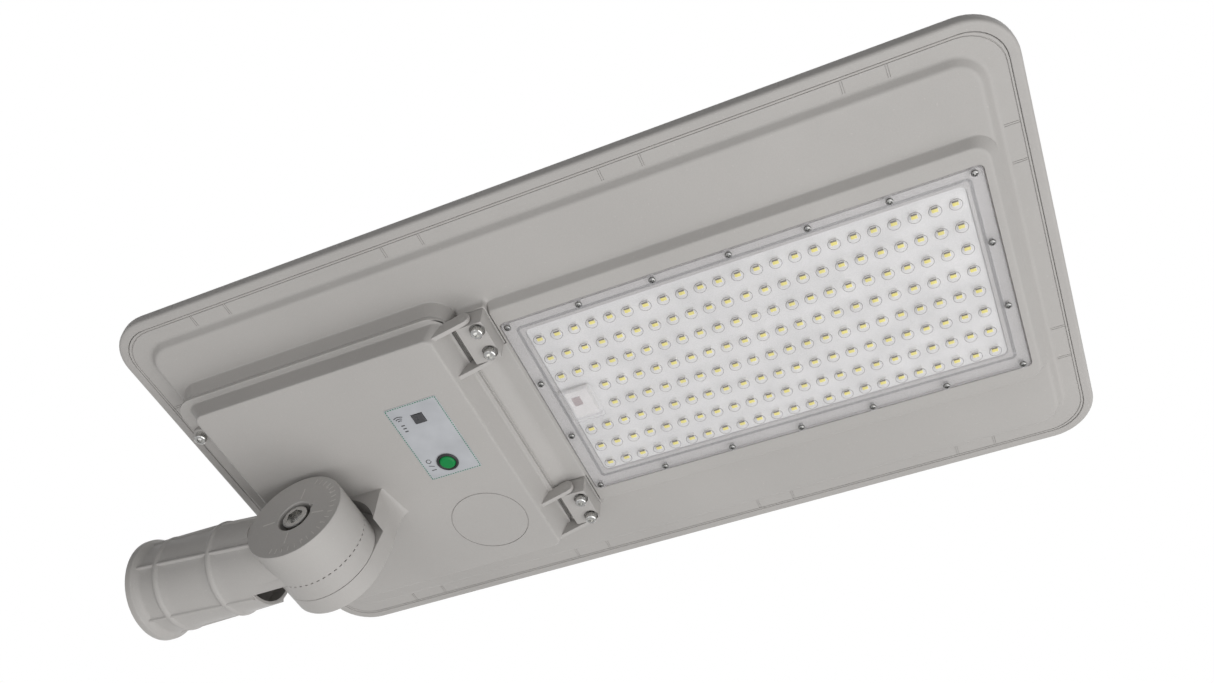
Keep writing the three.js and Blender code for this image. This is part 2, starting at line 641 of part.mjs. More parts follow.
addPart(lampBody, 'battery_strap', geometryOf(batteryStrap()), paint(0xb8b8b6, 0.35, 0.8));
addPart(
  lampBody, 'charge_controller',
  plate({ x0: 264, x1: 332, y0: 26, y1: 112 }, 3, 77, 90, 3),
  paint(0x2b2f33, 0.5, 0.2),
);
addPart(lampBody, 'wiring_lead', wiringLead(), paint(0x1d1d1e, 0.6, 0));

export default lamp;
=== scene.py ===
"""Looks of the solar street lamp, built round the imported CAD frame.

Lengths inside the builders are millimetres in the CAD's frame; MM turns them into metres.
"""

import math
from collections import namedtuple

import bmesh
import bpy
from mathutils import Matrix, Vector


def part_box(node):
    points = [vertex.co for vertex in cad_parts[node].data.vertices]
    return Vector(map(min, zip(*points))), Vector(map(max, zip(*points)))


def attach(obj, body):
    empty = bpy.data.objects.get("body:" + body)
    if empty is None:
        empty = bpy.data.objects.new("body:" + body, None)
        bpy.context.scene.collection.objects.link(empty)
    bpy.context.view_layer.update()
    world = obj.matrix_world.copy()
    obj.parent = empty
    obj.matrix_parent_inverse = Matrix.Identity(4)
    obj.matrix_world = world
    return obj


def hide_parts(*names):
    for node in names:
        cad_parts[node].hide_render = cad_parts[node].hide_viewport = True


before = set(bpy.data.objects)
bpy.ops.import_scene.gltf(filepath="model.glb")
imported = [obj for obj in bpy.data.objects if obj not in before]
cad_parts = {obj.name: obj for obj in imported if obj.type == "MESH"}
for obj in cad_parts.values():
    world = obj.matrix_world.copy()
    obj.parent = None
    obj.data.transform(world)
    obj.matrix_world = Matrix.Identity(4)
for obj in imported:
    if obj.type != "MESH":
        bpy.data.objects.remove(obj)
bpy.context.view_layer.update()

MM = 0.001
Rect = namedtuple("Rect", "x0 x1 y0 y1")
Box = namedtuple("Box", "x0 x1 y0 y1 z0 z1")
SIDES = (-1, 1)

# ---------------------------------------------------------------- places, from the frame


def cad(node):
    """The box of a CAD node in millimetres."""
    low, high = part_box(node)
    return Box(*(value / MM for pair in zip(low, high) for value in pair))


def outline(box):
    return Rect(box.x0, box.x1, box.y0, box.y1)


def centre(box):
    return ((box.x0 + box.x1) / 2, (box.y0 + box.y1) / 2, (box.z0 + box.z1) / 2)


def places(stem, count, digits=1):
    """Centres in X and Y of numbered nodes, such as a row of screws."""
    return [centre(cad(f"{stem}_{i:0{digits}d}"))[:2] for i in range(1, count + 1)]


def inset(r, d, e=None):
    """A rectangle smaller by d at each end in X, and by e in Y where it differs."""
    e = d if e is None else e
    return Rect(r.x0 + d, r.x1 - d, r.y0 + e, r.y1 - e)


def between(a, b, t):
    """The rectangle a share t of the way from a to b."""
    return Rect(*(p + (q - p) * t for p, q in zip(a, b)))


# ---------------------------------------------------------------- mesh code


def ring(r, radius, z, steps=8, left_radius=None):
    """Points round a rectangle with round corners, at height z; its left corners may differ."""
    right = max(radius, 0.05)
    left = right if left_radius is None else max(left_radius, 0.05)
    corners = (
        (r.x1 - right, r.y1 - right, 0, right),
        (r.x0 + left, r.y1 - left, 90, left),
        (r.x0 + left, r.y0 + left, 180, left),
        (r.x1 - right, r.y0 + right, 270, right),
    )
    points = []
    for cx, cy, start, round_radius in corners:
        for i in range(steps + 1):
            a = math.radians(start + 90 * i / steps)
            points.append((cx + round_radius * math.cos(a), cy + round_radius * math.sin(a), z))
    return points


def circle(radius, segments, at, axis="z", phase=0.0):
    """Points round a circle about a centre, in the plane across the axis."""
    x, y, z = at
    points = []
    for i in range(segments):
        a = 2 * math.pi * i / segments + phase
        u, v = radius * math.cos(a), radius * math.sin(a)
        if axis == "z":
            points.append((x + u, y + v, z))
        elif axis == "y":
            points.append((x + v, y, z + u))
        else:
            points.append((x, y + u, z + v))
    return points


def rounded(points, radius, steps=4):
    """An open path with each inner corner turned into a curve, as far as its sides allow."""
    out = [points[0]]
    for before, corner, after in zip(points, points[1:], points[2:]):
        a, b, c = Vector(before), Vector(corner), Vector(after)
        reach = min(radius, (a - b).length * 0.45, (c - b).length * 0.45)
        start = b + (a - b).normalized() * reach
        end = b + (c - b).normalized() * reach
        for i in range(steps + 1):
            t = i / steps
            out.append(tuple(start * (1 - t) ** 2 + b * 2 * t * (1 - t) + end * t * t))
    out.append(points[-1])
    return out


def loft(rings, closed=False):
    """Vertices and faces of a skin through rings of equal count, with its ends capped."""
    n = len(rings[0])
    vertices = [p for one in rings for p in one]
    faces = []
    spans = len(rings) if closed else len(rings) - 1
    for j in range(spans):
        a, b = j * n, ((j + 1) % len(rings)) * n
        for i in range(n):
            k = (i + 1) % n
            faces.append((a + i, a + k, b + k, b + i))
    if not closed:
        faces.append(tuple(range(n)))
        faces.append(tuple(range((len(rings) - 1) * n, len(rings) * n)))
    return vertices, faces


def turned(profile, at, axis="z", segments=32, closed=False):
    """A turned body: profile is (radius, distance along the axis) from end to end."""
    x, y, z = at
    rings = []
    for radius, along in profile:
        place = {"x": (x + along, y, z), "y": (x, y + along, z), "z": (x, y, z + along)}[axis]
        rings.append(circle(max(radius, 0.01), segments, place, axis))
    return loft(rings, closed)


def rod(radius, start, end, at, axis="z", segments=32):
    """A plain rod from start to end along an axis, for bores and shanks."""
    return turned([(radius, start), (radius, end)], at, axis, segments)


def prism(points, y0, y1):
    """An outline in X and Z, extruded along Y."""
    return loft([[(x, y, z) for x, z in points] for y in (y0, y1)])


def block(x0, x1, y0, y1, z0, z1):
    """A plain box."""
    return loft([[(x0, y0, z), (x1, y0, z), (x1, y1, z), (x0, y1, z)] for z in (z0, z1)])


def strip(points, width, z0, z1, closed=False):
    """A flat ribbon along a path in X and Y, from z0 to z1."""
    left, right = [], []
    count = len(points)
    for i, (x, y) in enumerate(points):
        a = points[(i - 1) % count] if closed or i else points[i]
        b = points[(i + 1) % count] if closed or i < count - 1 else points[i]
        d = Vector((b[0] - a[0], b[1] - a[1])).normalized() * width / 2
        left.append((x - d.y, y + d.x))
        right.append((x + d.y, y - d.x))
    if not closed:
        edge = left + right[::-1]
        return loft([[(x, y, z) for x, y in edge] for z in (z0, z1)])
    rings = []
    for side, z in ((left, z0), (left, z1), (right, z1), (right, z0)):
        rings.append([(x, y, z) for x, y in side])
    return loft(rings, closed=True)


def several(*parts):
    """Joins separate bodies into one list of vertices and faces."""
    vertices, faces = [], []
    for more_vertices, more_faces in parts:
        start = len(vertices)
        vertices.extend(more_vertices)
        faces.extend(tuple(start + i for i in face) for face in more_faces)
    return vertices, faces


def mesh_of(part, soft=0.0, soft_steps=2):
    """A Blender mesh in metres, normals out, with all its edges rounded by soft millimetres."""
    vertices, faces = part
    mesh = bpy.data.meshes.new("part")
    mesh.from_pydata([(x * MM, y * MM, z * MM) for x, y, z in vertices], [], faces)
    bm = bmesh.new()
    bm.from_mesh(mesh)
    bmesh.ops.recalc_face_normals(bm, faces=bm.faces)
    if soft:
        sharp = [e for e in bm.edges if e.calc_face_angle(0) > math.radians(30)]
        bmesh.ops.bevel(
            bm, geom=sharp, offset=soft * MM, segments=soft_steps, profile=0.5,
            affect="EDGES", clamp_overlap=True,
        )
    bm.to_mesh(mesh)
    bm.free()
    return mesh


def carve(base, add=(), cut=()):
    """The union of base and the meshes in add, less those in cut."""
    target = bpy.data.objects.new("target", base)
    bpy.context.scene.collection.objects.link(target)
    helpers = []
    for operation, meshes in (("UNION", add), ("DIFFERENCE", cut)):
        for mesh in meshes:
            helper = bpy.data.objects.new("helper", mesh)
            bpy.context.scene.collection.objects.link(helper)
            helpers.append(helper)
            modifier = target.modifiers.new("boolean", "BOOLEAN")
            modifier.object = helper
            modifier.operation = operation
            modifier.solver = "MANIFOLD"
    graph = bpy.context.evaluated_depsgraph_get()
    result = bpy.data.meshes.new_from_object(target.evaluated_get(graph))
    for o in [target, *helpers]:
        bpy.data.objects.remove(o)
    result.materials.clear()
    return result


def piece(node, mesh, body, material, angle=32):
    """A finished piece that stands for a CAD node; material is one, or a list with one for each index."""
    name = f"{node}_fine"
    mesh.name = name
    for one in material if isinstance(material, list) else [material]:
        mesh.materials.append(one)
    mesh.shade_smooth()
    mesh.set_sharp_from_angle(angle=math.radians(angle))
    o = bpy.data.objects.new(name, mesh)
    bpy.context.scene.collection.objects.link(o)
    weighted = o.modifiers.new("weighted_normals", "WEIGHTED_NORMAL")
    weighted.keep_sharp = True
    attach(o, body)
    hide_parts(node)


def painted(parts):
    """One mesh from several, each with its material index."""
    bm = bmesh.new()
    for mesh, index in parts:
        before = len(bm.faces)
        bm.from_mesh(mesh)
        bm.faces.ensure_lookup_table()
        for face in bm.faces[before:]:
            face.material_index = index
    mesh = bpy.data.meshes.new("painted")
    bm.to_mesh(mesh)
    bm.free()
    return mesh


# ---------------------------------------------------------------- materials


class Look:
    """A node material with a Principled shader."""

    def __init__(self, name, color, roughness, metallic=0.0, **sockets):
        self.material = bpy.data.materials.new(name)
        self.material.use_nodes = True
        self.tree = self.material.node_tree
        self.shader = self.tree.nodes["Principled BSDF"]
        self.set("Base Color", (*color, 1))
        self.set("Roughness", roughness)
        self.set("Metallic", metallic)
        for socket, value in sockets.items():
            self.set(socket.replace("_", " "), value)
        self.coordinates = self.add("ShaderNodeTexCoord").outputs["Object"]

    def add(self, kind):
        return self.tree.nodes.new(kind)

    def set(self, socket, value):
        self.shader.inputs[socket].default_value = value

    def link(self, output, node_input):
        self.tree.links.new(output, node_input)

    def noise(self, scale, detail=2.0, stretch=(1, 1, 1)):
        mapping = self.add("ShaderNodeMapping")
        mapping.inputs["Scale"].default_value = stretch
        self.link(self.coordinates, mapping.inputs["Vector"])
        node = self.add("ShaderNodeTexNoise")
        node.inputs["Scale"].default_value = scale
        node.inputs["Detail"].default_value = detail
        self.link(mapping.outputs["Vector"], node.inputs["Vector"])
        return node.outputs["Fac"]

    def ramp(self, value, *stops):
        node = self.add("ShaderNodeValToRGB")
        ramp = node.color_ramp
        while len(ramp.elements) < len(stops):
            ramp.elements.new(0.5)
        for element, (position, color) in zip(ramp.elements, stops):
            element.position = position
            element.color = (*color, 1)
        self.link(value, node.inputs["Fac"])
        return node.outputs["Color"]

    def span(self, value, low, high, start=0.3, end=0.7):
        node = self.add("ShaderNodeMapRange")
        node.inputs["From Min"].default_value = start
        node.inputs["From Max"].default_value = end
        node.inputs["To Min"].default_value = low
        node.inputs["To Max"].default_value = high
        self.link(value, node.inputs["Value"])
        return node.outputs["Result"]

    def math(self, operation, a, b=0.0):
        node = self.add("ShaderNodeMath")
        node.operation = operation
        for i, value in enumerate((a, b)):
            if isinstance(value, (int, float)):
                node.inputs[i].default_value = value
            else:
                self.link(value, node.inputs[i])
        return node.outputs[0]

    def blend(self, factor, a, b):
        node = self.add("ShaderNodeMix")
        node.data_type = "RGBA"
        self.link(factor, node.inputs["Factor"])
        for socket, value in (("A", a), ("B", b)):
            target = [i for i in node.inputs if i.name == socket and i.type == "RGBA"][0]
            if isinstance(value, tuple):
                target.default_value = (*value, 1)
            else:
                self.link(value, target)
        return [o for o in node.outputs if o.type == "RGBA"][0]

    def bump(self, height, strength, distance=0.0005):
        node = self.add("ShaderNodeBump")
        node.inputs["Strength"].default_value = strength
        node.inputs["Distance"].default_value = distance
        self.link(height, node.inputs["Height"])
        self.link(node.outputs["Normal"], self.shader.inputs["Normal"])

    def color(self, output):
        self.link(output, self.shader.inputs["Base Color"])

    def roughness(self, output):
        self.link(output, self.shader.inputs["Roughness"])


def shade(color, factor):
    """A colour made lighter or darker."""
    return tuple(min(1.0, c * factor) for c in color)


def powder_coat(name, color):
    """Satin powder coat on a casting: fine orange peel, faint clouds, specks and rubbed spots."""
    look = Look(name, color, 0.5, Specular_IOR_Level=0.45)
    clouds = look.noise(7, 3)
    grain = look.noise(1500, 2)
    specks = look.noise(420, 1)
    base = look.ramp(clouds, (0.3, shade(color, 0.955)), (0.7, shade(color, 1.03)))
    fine = look.ramp(grain, (0.3, (0.93, 0.93, 0.93)), (0.7, (1, 1, 1)))
    mixed = look.add("ShaderNodeMix")
    mixed.data_type = "RGBA"
    mixed.blend_type = "MULTIPLY"
    mixed.inputs["Factor"].default_value = 1.0
    look.link(base, mixed.inputs[6])
    look.link(fine, mixed.inputs[7])
    dust = look.ramp(specks, (0.72, (0, 0, 0)), (0.78, (0.35, 0.35, 0.35)))
    look.color(look.blend(dust, mixed.outputs[2], shade(color, 1.25)))
    look.roughness(look.span(look.noise(60, 3), 0.42, 0.56))
    look.bump(look.noise(650, 3), 0.16)
    return look.material


def steel(name, tone=0.58):
    """Bright plated steel with turning marks and a few dull spots."""
    look = Look(name, (tone, tone, tone * 0.97), 0.25, 1.0)
    look.color(look.ramp(
        look.noise(500, 2), (0.35, (tone * 0.9,) * 3), (0.65, (tone * 1.08, tone * 1.07, tone * 1.03)),
    ))
    look.roughness(look.span(look.noise(300, 3), 0.14, 0.24))
    look.bump(look.noise(1600, 1, (1, 1, 0.1)), 0.03)
    return look.material


def moulded(name, color, roughness=0.45, grain=0.1, scale=1200, **sockets):
    """Moulded plastic or rubber with a fine spark grain."""
    look = Look(name, color, roughness, **sockets)
    look.color(look.ramp(
        look.noise(35, 3), (0.3, shade(color, 0.9)), (0.7, shade(color, 1.08)),
    ))
    look.roughness(look.span(look.noise(200, 2), roughness * 0.88, roughness * 1.12))
    look.bump(look.noise(scale, 2), grain)
    return look.material


def clear(name, color, alpha, roughness, waves=0.05):
    """Clear plastic or glass: a thin skin that shows what lies behind it."""
    look = Look(name, color, roughness, Alpha=alpha, Specular_IOR_Level=0.7)
    look.color(look.ramp(
        look.noise(22, 2), (0.3, shade(color, 0.96)), (0.7, shade(color, 1.03)),
    ))
    look.roughness(look.span(look.noise(90, 2), roughness * 0.7, roughness * 1.4))
    look.bump(look.noise(160, 2), waves)
    return look.material


def solar_cell(name):
    """Blue-black silicon: fine silver fingers across Y and a slow change of tint."""
    look = Look(name, (0.012, 0.018, 0.045), 0.35)
    split = look.add("ShaderNodeSeparateXYZ")
    look.link(look.coordinates, split.inputs[0])
    finger_pitch = 0.0021
    wave = look.math("FRACT", look.math("DIVIDE", split.outputs["X"], finger_pitch))
    finger = look.math("LESS_THAN", wave, 0.09)
    tint = look.ramp(
        look.noise(9, 3), (0.25, (0.006, 0.010, 0.030)), (0.75, (0.020, 0.032, 0.075)),
    )
    look.color(look.blend(finger, tint, (0.030, 0.036, 0.055)))
    look.roughness(look.span(look.noise(300, 2), 0.22, 0.36))
    return look.material


SATIN_GREY = (0.415, 0.400, 0.384)
CAST = powder_coat("cast_paint", SATIN_GREY)
FRAME = powder_coat("frame_paint", shade(SATIN_GREY, 0.98))
SLEEVE = powder_coat("sleeve_paint", shade(SATIN_GREY, 0.98))
# A lighter copy of the sleeve paint for the disc's marks: a painted highlight for the light their raised
# edges catch.
SLEEVE_HIGHLIGHT = powder_coat("sleeve_paint_painted_highlight", shade(SATIN_GREY, 1.3))
STEEL = steel("plated_steel", 0.62)
SCREW_STEEL = steel("small_screw_steel", 0.3)
RUBBER = moulded("rubber", (0.022, 0.022, 0.023), 0.75, 0.2)
BLACK_PLASTIC = moulded("black_plastic", (0.018, 0.018, 0.019), 0.42)
WINDOW_PLASTIC = moulded("receiver_plastic", (0.052, 0.052, 0.056), 0.3, 0.04)
GREEN_PLASTIC = moulded("green_plastic", (0.0, 0.20, 0.045), 0.42, 0.06, Specular_IOR_Level=0.3)
LABEL_FILM = moulded("label_film", (0.42, 0.43, 0.45), 0.4, 0.05, Specular_IOR_Level=0.3)
GREEN_INK = moulded("green_ink", (0.0, 0.16, 0.07), 0.5, 0.02)
BLACK_INK = moulded("black_ink", (0.02, 0.02, 0.022), 0.5, 0.02)
SOLDER_MASK = moulded("white_solder_mask", (0.80, 0.80, 0.80), 0.5, 0.05)
CHIP_BODY = moulded("chip_body", (0.83, 0.82, 0.78), 0.4, 0.02)
PHOSPHOR = moulded("phosphor", (0.86, 0.74, 0.06), 0.55, 0.04)
# Near-black brown for a strip beside each chip: painted shade from the chip's side.
CHIP_SHADE = moulded("chip_painted_shade", (0.045, 0.028, 0.014), 0.5, 0.02)
WHITE_NYLON = moulded("white_nylon", (0.82, 0.80, 0.79), 0.5, 0.06)
PINK_NYLON = moulded("pink_grey_nylon", (0.47, 0.38, 0.38), 0.5, 0.06)
LENS_SKIN = clear("clear_lens", (0.76, 0.745, 0.755), 0.26, 0.14)
# A darker clear skin: painted shade in a ring round each dome's foot, and a painted shadow line along the
# gap at the plate's edge.
LENS_SHADE_RIM = clear("clear_lens_painted_shade", (0.21, 0.19, 0.195), 0.30, 0.2)
GLASS_SKIN = clear("solar_glass", (0.05, 0.07, 0.09), 0.14, 0.06, 0.0)
CELL = solar_cell("silicon_cell")
BACKSHEET = moulded("backsheet", (0.010, 0.011, 0.014), 0.4, 0.04)
BATTERY_WRAP = moulded("battery_wrap", (0.02, 0.075, 0.24), 0.32, 0.05, 300)
BARE_METAL = steel("bare_aluminium", 0.5)

# ---------------------------------------------------------------- driving places

PANEL = outline(cad("panel_frame"))
PANEL_BOTTOM = cad("panel_frame").z0
PANEL_TOP = cad("panel_frame").z1
PANEL_RADIUS = 40
GROOVE_INSET = 8.8
LENS = cad("lens_plate")
LENS_RECT = outline(LENS)
KNUCKLE = centre(cad("tilt_index_ring"))
KNUCKLE_AXIS = (KNUCKLE[0], 0.0, 0.0)
KNUCKLE_RADIUS = (cad("tilt_index_ring").z1 - cad("tilt_index_ring").z0) / 2
PIN = centre(cad("hinge_pin_1"))
COVER_SCREWS = places("cover_screw", 2)
BLOCK_SCREWS = places("hinge_block_screw", 4)
LENS_SCREWS = places("lens_screw", 18, 2)
SET_SCREWS = places("pole_set_screw", 2)
BUTTON = centre(cad("power_button"))
RECEIVER = cad("receiver_window")

# Levels and sizes inside the CAD pieces, which their boxes don't give.
STEP_TWO_Z = 83.0
PLATEAU_Z = 92.5
COVER_LIP_Z = 75.6
COVER_FOOT_Z = 72.0
COVER_FACE_Z = 52.5
ROOT_FRONT = 220.0
DISC_Y0, DISC_Y1 = 20.3, 40
FIXED_DISC_Y = -39.0
BOLT_BORE = 8.5
LED_FIRST_X, LED_PITCH_X, LED_COLUMNS = 414.2, 16.0, 23
LED_PITCH_Y, LED_ROWS = 22.11, 8
SLEEVE_BORE, SLEEVE_TUBE, SLEEVE_RIB, SLEEVE_FLANGE = 31.0, 40.5, 43.0, 46.0
SLEEVE_END = 114.0
RIB_START = 3
RIB_TWIST = 0.11
FLANGE_Z = cad("back_housing").z1 - 3.8
PLINTH_Z = cad("back_housing").z0


def step_rings(base, top, base_radius, top_radius, z0, z1, soft, limit=None, left_radius=None):
    """Rings up a sloping wall from base at z0 to top at z1, with soft curves at both ends."""
    run = base.y1 - top.y1
    path = rounded([(-soft, z0), (0, z0), (run, z1), (run + soft, z1)], soft, 5)
    rings = []
    for s, z in path:
        k = s / run
        r = between(base, top, k)
        if limit:
            r = Rect(max(r.x0, limit.x0), min(r.x1, limit.x1), r.y0, r.y1)
        rings.append(ring(r, base_radius + (top_radius - base_radius) * k, z, 8, left_radius))
    return rings


# ---------------------------------------------------------------- lamp body


def make_panel_frame():
    """The rim: a closed section carried round the panel."""
    bottom, top = PANEL_BOTTOM, PANEL_TOP
    outer = rounded([
        (GROOVE_INSET - 0.4, bottom), (0.0, bottom), (0.0, top), (GROOVE_INSET, top),
    ], 5.0, 6)
    section = [(GROOVE_INSET, bottom + 0.5), *outer[:-1], (GROOVE_INSET - 0.5, top)]
    section += [
        (GROOVE_INSET, top - 0.5), (GROOVE_INSET, 105.4), (16, 105.4), (16, 103.3),
        (GROOVE_INSET, 103.3),
    ]
    rings = [ring(inset(PANEL, d), PANEL_RADIUS - d, z, 12) for d, z in section]
    piece(
        "panel_frame", mesh_of(loft(rings, closed=True)), "lamp_body", FRAME,
    )


def tab_lines():
    """Fine double lines across the flange, where its tabs were machined."""
    width, depth, pair, tab = 0.45, 0.5, 1.7, 34.0
    long_inner = 190.6
    lines = []
    for x_centre in (158, 345, 537, 729):
        for dx in (-tab / 2, tab / 2):
            for offset in (-pair / 2, pair / 2):
                x = x_centre + dx + offset
                for side in SIDES:
                    y0, y1 = sorted((side * long_inner, side * (PANEL.y1 - GROOVE_INSET - 2.6)))
                    lines.append(block(
                        x - width / 2, x + width / 2, y0, y1, FLANGE_Z - 1, FLANGE_Z + depth,
                    ))
    for side in SIDES:
        for dy in (-tab / 2, tab / 2):
            for offset in (-pair / 2, pair / 2):
                y = side * 103 + dy + offset
                for x0, x1 in ((PANEL.x0 + 11.4, 76.5), (815, PANEL.x1 - 11.4)):
                    lines.append(block(
                        x0, x1, y - width / 2, y + width / 2, FLANGE_Z - 1, FLANGE_Z + depth,
                    ))
    return several(*lines)


def make_back_housing():
    """The stepped casting behind the panel, with the battery bay and the lens recess."""
    one_base, one_top = Rect(79, 812.5, -188.5, 188.5), Rect(84, 806, -183.5, 183.5)
    two_base, two_top = Rect(386, 807, -125, 125), Rect(387.0, 799, -120, 120)
    plinth_base, plinth_top = Rect(84.8, 357.5, -142.5, 142.5), Rect(86, 355.5, -139, 139)
    r = PANEL_RADIUS - GROOVE_INSET
    flange = [
        (9.1, 103.0), (9.1, FLANGE_Z + 0.5), (9.5, FLANGE_Z), (10.7, FLANGE_Z),
        (10.9, FLANGE_Z + 0.8), (11.3, FLANGE_Z + 0.8), (11.5, FLANGE_Z),
    ]
    rings = [ring(inset(PANEL, d), r, z) for d, z in flange]
    rings += step_rings(one_base, one_top, 25, 20, FLANGE_Z, PLATEAU_Z, 5)
    base = mesh_of(loft(rings))

    plateau = Rect(84.4, 806.4, -1000, 1000)
    lip = 0.03
    foot = step_rings(two_base, two_top, 18, 14, PLATEAU_Z + lip, STEP_TWO_Z, 3.4, plateau, 2.0)
    recess = inset(LENS_RECT, -0.7)
    inner = inset(LENS_RECT, 15)
    lens_seat = [
        ring(inset(recess, -0.4), 4.8, STEP_TWO_Z), ring(recess, 4.4, STEP_TWO_Z + 0.4),
        ring(recess, 4.4, LENS.z1 + 0.3), ring(inner, 6, LENS.z1 + 0.3), ring(inner, 6, 90.2),
    ]
    skirt = [(x, y, PLATEAU_Z + 2.5) for x, y, _ in foot[0]]
    two = mesh_of(loft([skirt, *foot, *lens_seat]))

    foot = step_rings(
        plinth_base, plinth_top, 22, 19, PLATEAU_Z + lip, PLINTH_Z, 3.2, plateau,
    )
    skirt = [(x, y, PLATEAU_Z + 2.5) for x, y, _ in foot[0]]
    plinth = mesh_of(loft([skirt, *foot]))

    pads = []
    for node in ("hinge_block_1", "hinge_block_2"):
        seat = cad(node)
        pad = inset(outline(seat), -1.0, -1.2)
        flare = rounded([
            (-11.0, PLATEAU_Z + lip), (-1.0, PLATEAU_Z - 1.2),
            (0.0, seat.z1 + 0.3), (1.6, seat.z1 + 0.3),
        ], 5.0, 6)
        skirt = ring(inset(pad, -11.0), 10, PLATEAU_Z + 2.5)
        pads.append(mesh_of(loft([
            skirt, *(ring(inset(pad, d), 2 - min(d, 0) * 0.7, z) for d, z in flare),
        ])))

    bridge_end, bridge_side, bridge_z = 388.4, 84.4, STEP_TWO_Z + 0.02
    bridge_edge = rounded([
        (352, PLATEAU_Z + 2), (353, 77.6), (356.5, 77.6), (370, bridge_z), (bridge_end, bridge_z),
        (bridge_end, PLATEAU_Z + 2),
    ], 4, 5)
    bridge = mesh_of(prism(bridge_edge, -bridge_side, bridge_side))

    bay = Rect(103, 343, -127, 127)
    bay_cut = mesh_of(loft([
        ring(inset(bay, -0.8), 10.8, PLINTH_Z - 1), ring(inset(bay, -0.8), 10.8, PLINTH_Z + 0.01),
        ring(bay, 10, PLINTH_Z + 0.8), ring(inset(bay, 0.6), 9.4, 93.5), ring(inset(bay, 2.5), 8, 95.5),
    ]))
    seal = cad("cover_gasket")
    seal_rect = outline(seal)
    seal_cut = mesh_of(loft([
        ring(inset(seal_rect, d), 10 - d, z) for d, z in (
            (-0.3, seal.z0 - 2), (-0.3, seal.z1 + 0.3), (3.3, seal.z1 + 0.3), (3.3, seal.z0 - 2),
        )
    ], closed=True))
    lead = cad("wiring_lead")
    holes = [rod(5, -8, 8, (lead.x0 + 5, lead.y1 - 5, 95), segments=24)]
    holes += [rod(4.2, 70, 84, (x, y, 0), segments=24) for x, y in COVER_SCREWS]
    mesh = carve(
        base, [two, plinth, bridge, *pads],
        [bay_cut, seal_cut, mesh_of(several(*holes)), mesh_of(tab_lines())],
    )
    piece("back_housing", mesh, "lamp_body", CAST)


def led_places():
    """Centres of the 180 LEDs: a grid less the four where the cable comes in."""
    places = []
    for i in range(LED_COLUMNS):
        for j in range(LED_ROWS):
            y = (j - (LED_ROWS - 1) / 2) * LED_PITCH_Y
            if i < 2 and abs(y) < LED_PITCH_Y:
                continue
            places.append((LED_FIRST_X + i * LED_PITCH_X, y))
    return places


def make_lens_plate():
    """Clear plate with moulded border lines, screw lobes, a dome for each LED, and the cable's hood."""
    z0, z1 = 82.4, LENS.z1
    window = Rect(406.4, 774.6, -88.5, 88.5)
    path = [
        (0.0, z1), (0.0, z0 + 0.5), (0.03, z0), (0.40, z0), (0.44, z0 + 0.15), (0.50, z0 + 0.15),
        (0.54, z0), (0.70, z0), (0.73, z0 + 0.12), (0.80, z0 + 0.12),
        (0.84, z0 - 0.05), (0.94, z0 - 0.05), (1.0, z0 + 0.35),
    ]
    rings = [ring(between(LENS_RECT, window, t), 4 + 1.5 * t, z) for t, z in path]
    plate = mesh_of(loft(rings))
    lobes = []
    for x, y in LENS_SCREWS:
        if abs(y) > 90:
            lobes.append(turned(
                [(5.6, z1 - 0.2), (5.6, z0 + 0.3), (5.2, z0 - 0.15)], (x, y, 0), segments=24,
            ))
    surface = z0 + 0.35
    domes = []
    for x, y in led_places():
        dome = [(4.95, surface + 0.5), (4.95, surface - 0.15), (4.75, surface - 0.75)]
        dome += [(4.2, surface - 1.45), (3.2, surface - 2.1)]
        dome += [(1.8, surface - 2.55), (0.4, surface - 2.7)]
        domes.append(turned(dome, (x, y, 0), segments=20))
    low = LENS.z0
    hood_rect = Rect(404, 435, -20, 20)
    hood = mesh_of(loft([
        ring(inset(hood_rect, d), 3, z)
        for d, z in ((0, z1 - 0.5), (0, low + 1.6), (0.5, low + 0.4), (1.6, low))
    ]))
    hollow = mesh_of(loft([
        ring(inset(hood_rect, d), 2, z)
        for d, z in ((2.2, z1 + 1), (2.2, low + 2.4), (3.2, low + 1.5))
    ]))
    holes = mesh_of(several(*[
        rod(2.1, z0 - 3, z1 + 3, (x, y, 0), segments=16) for x, y in LENS_SCREWS
    ]))
    mesh = carve(plate, [mesh_of(several(*lobes)), mesh_of(several(*domes)), hood], [hollow, holes])
    # A darker ring at each dome's foot: painted shade for the dark outline of the clear dome.
    dome_shade_rings = [
        turned([
            (4.9, surface - 0.02), (5.35, surface - 0.02), (5.35, surface - 0.12), (4.9, surface - 0.3),
        ], (x, y, 0), segments=20, closed=True) for x, y in led_places()
    ]
    # A dark line along the plate's edge: a painted shadow for the gap round the plate.
    edge = strip(
        [p[:2] for p in ring(inset(LENS_RECT, 0.35), 3.8, 0)], 0.7, z0 - 0.02, z0 + 0.3, closed=True,
    )
    plate = painted([(mesh, 0), (mesh_of(several(*dome_shade_rings, edge)), 1)])
    piece("lens_plate", plate, "lamp_body", [LENS_SKIN, LENS_SHADE_RIM], 40)


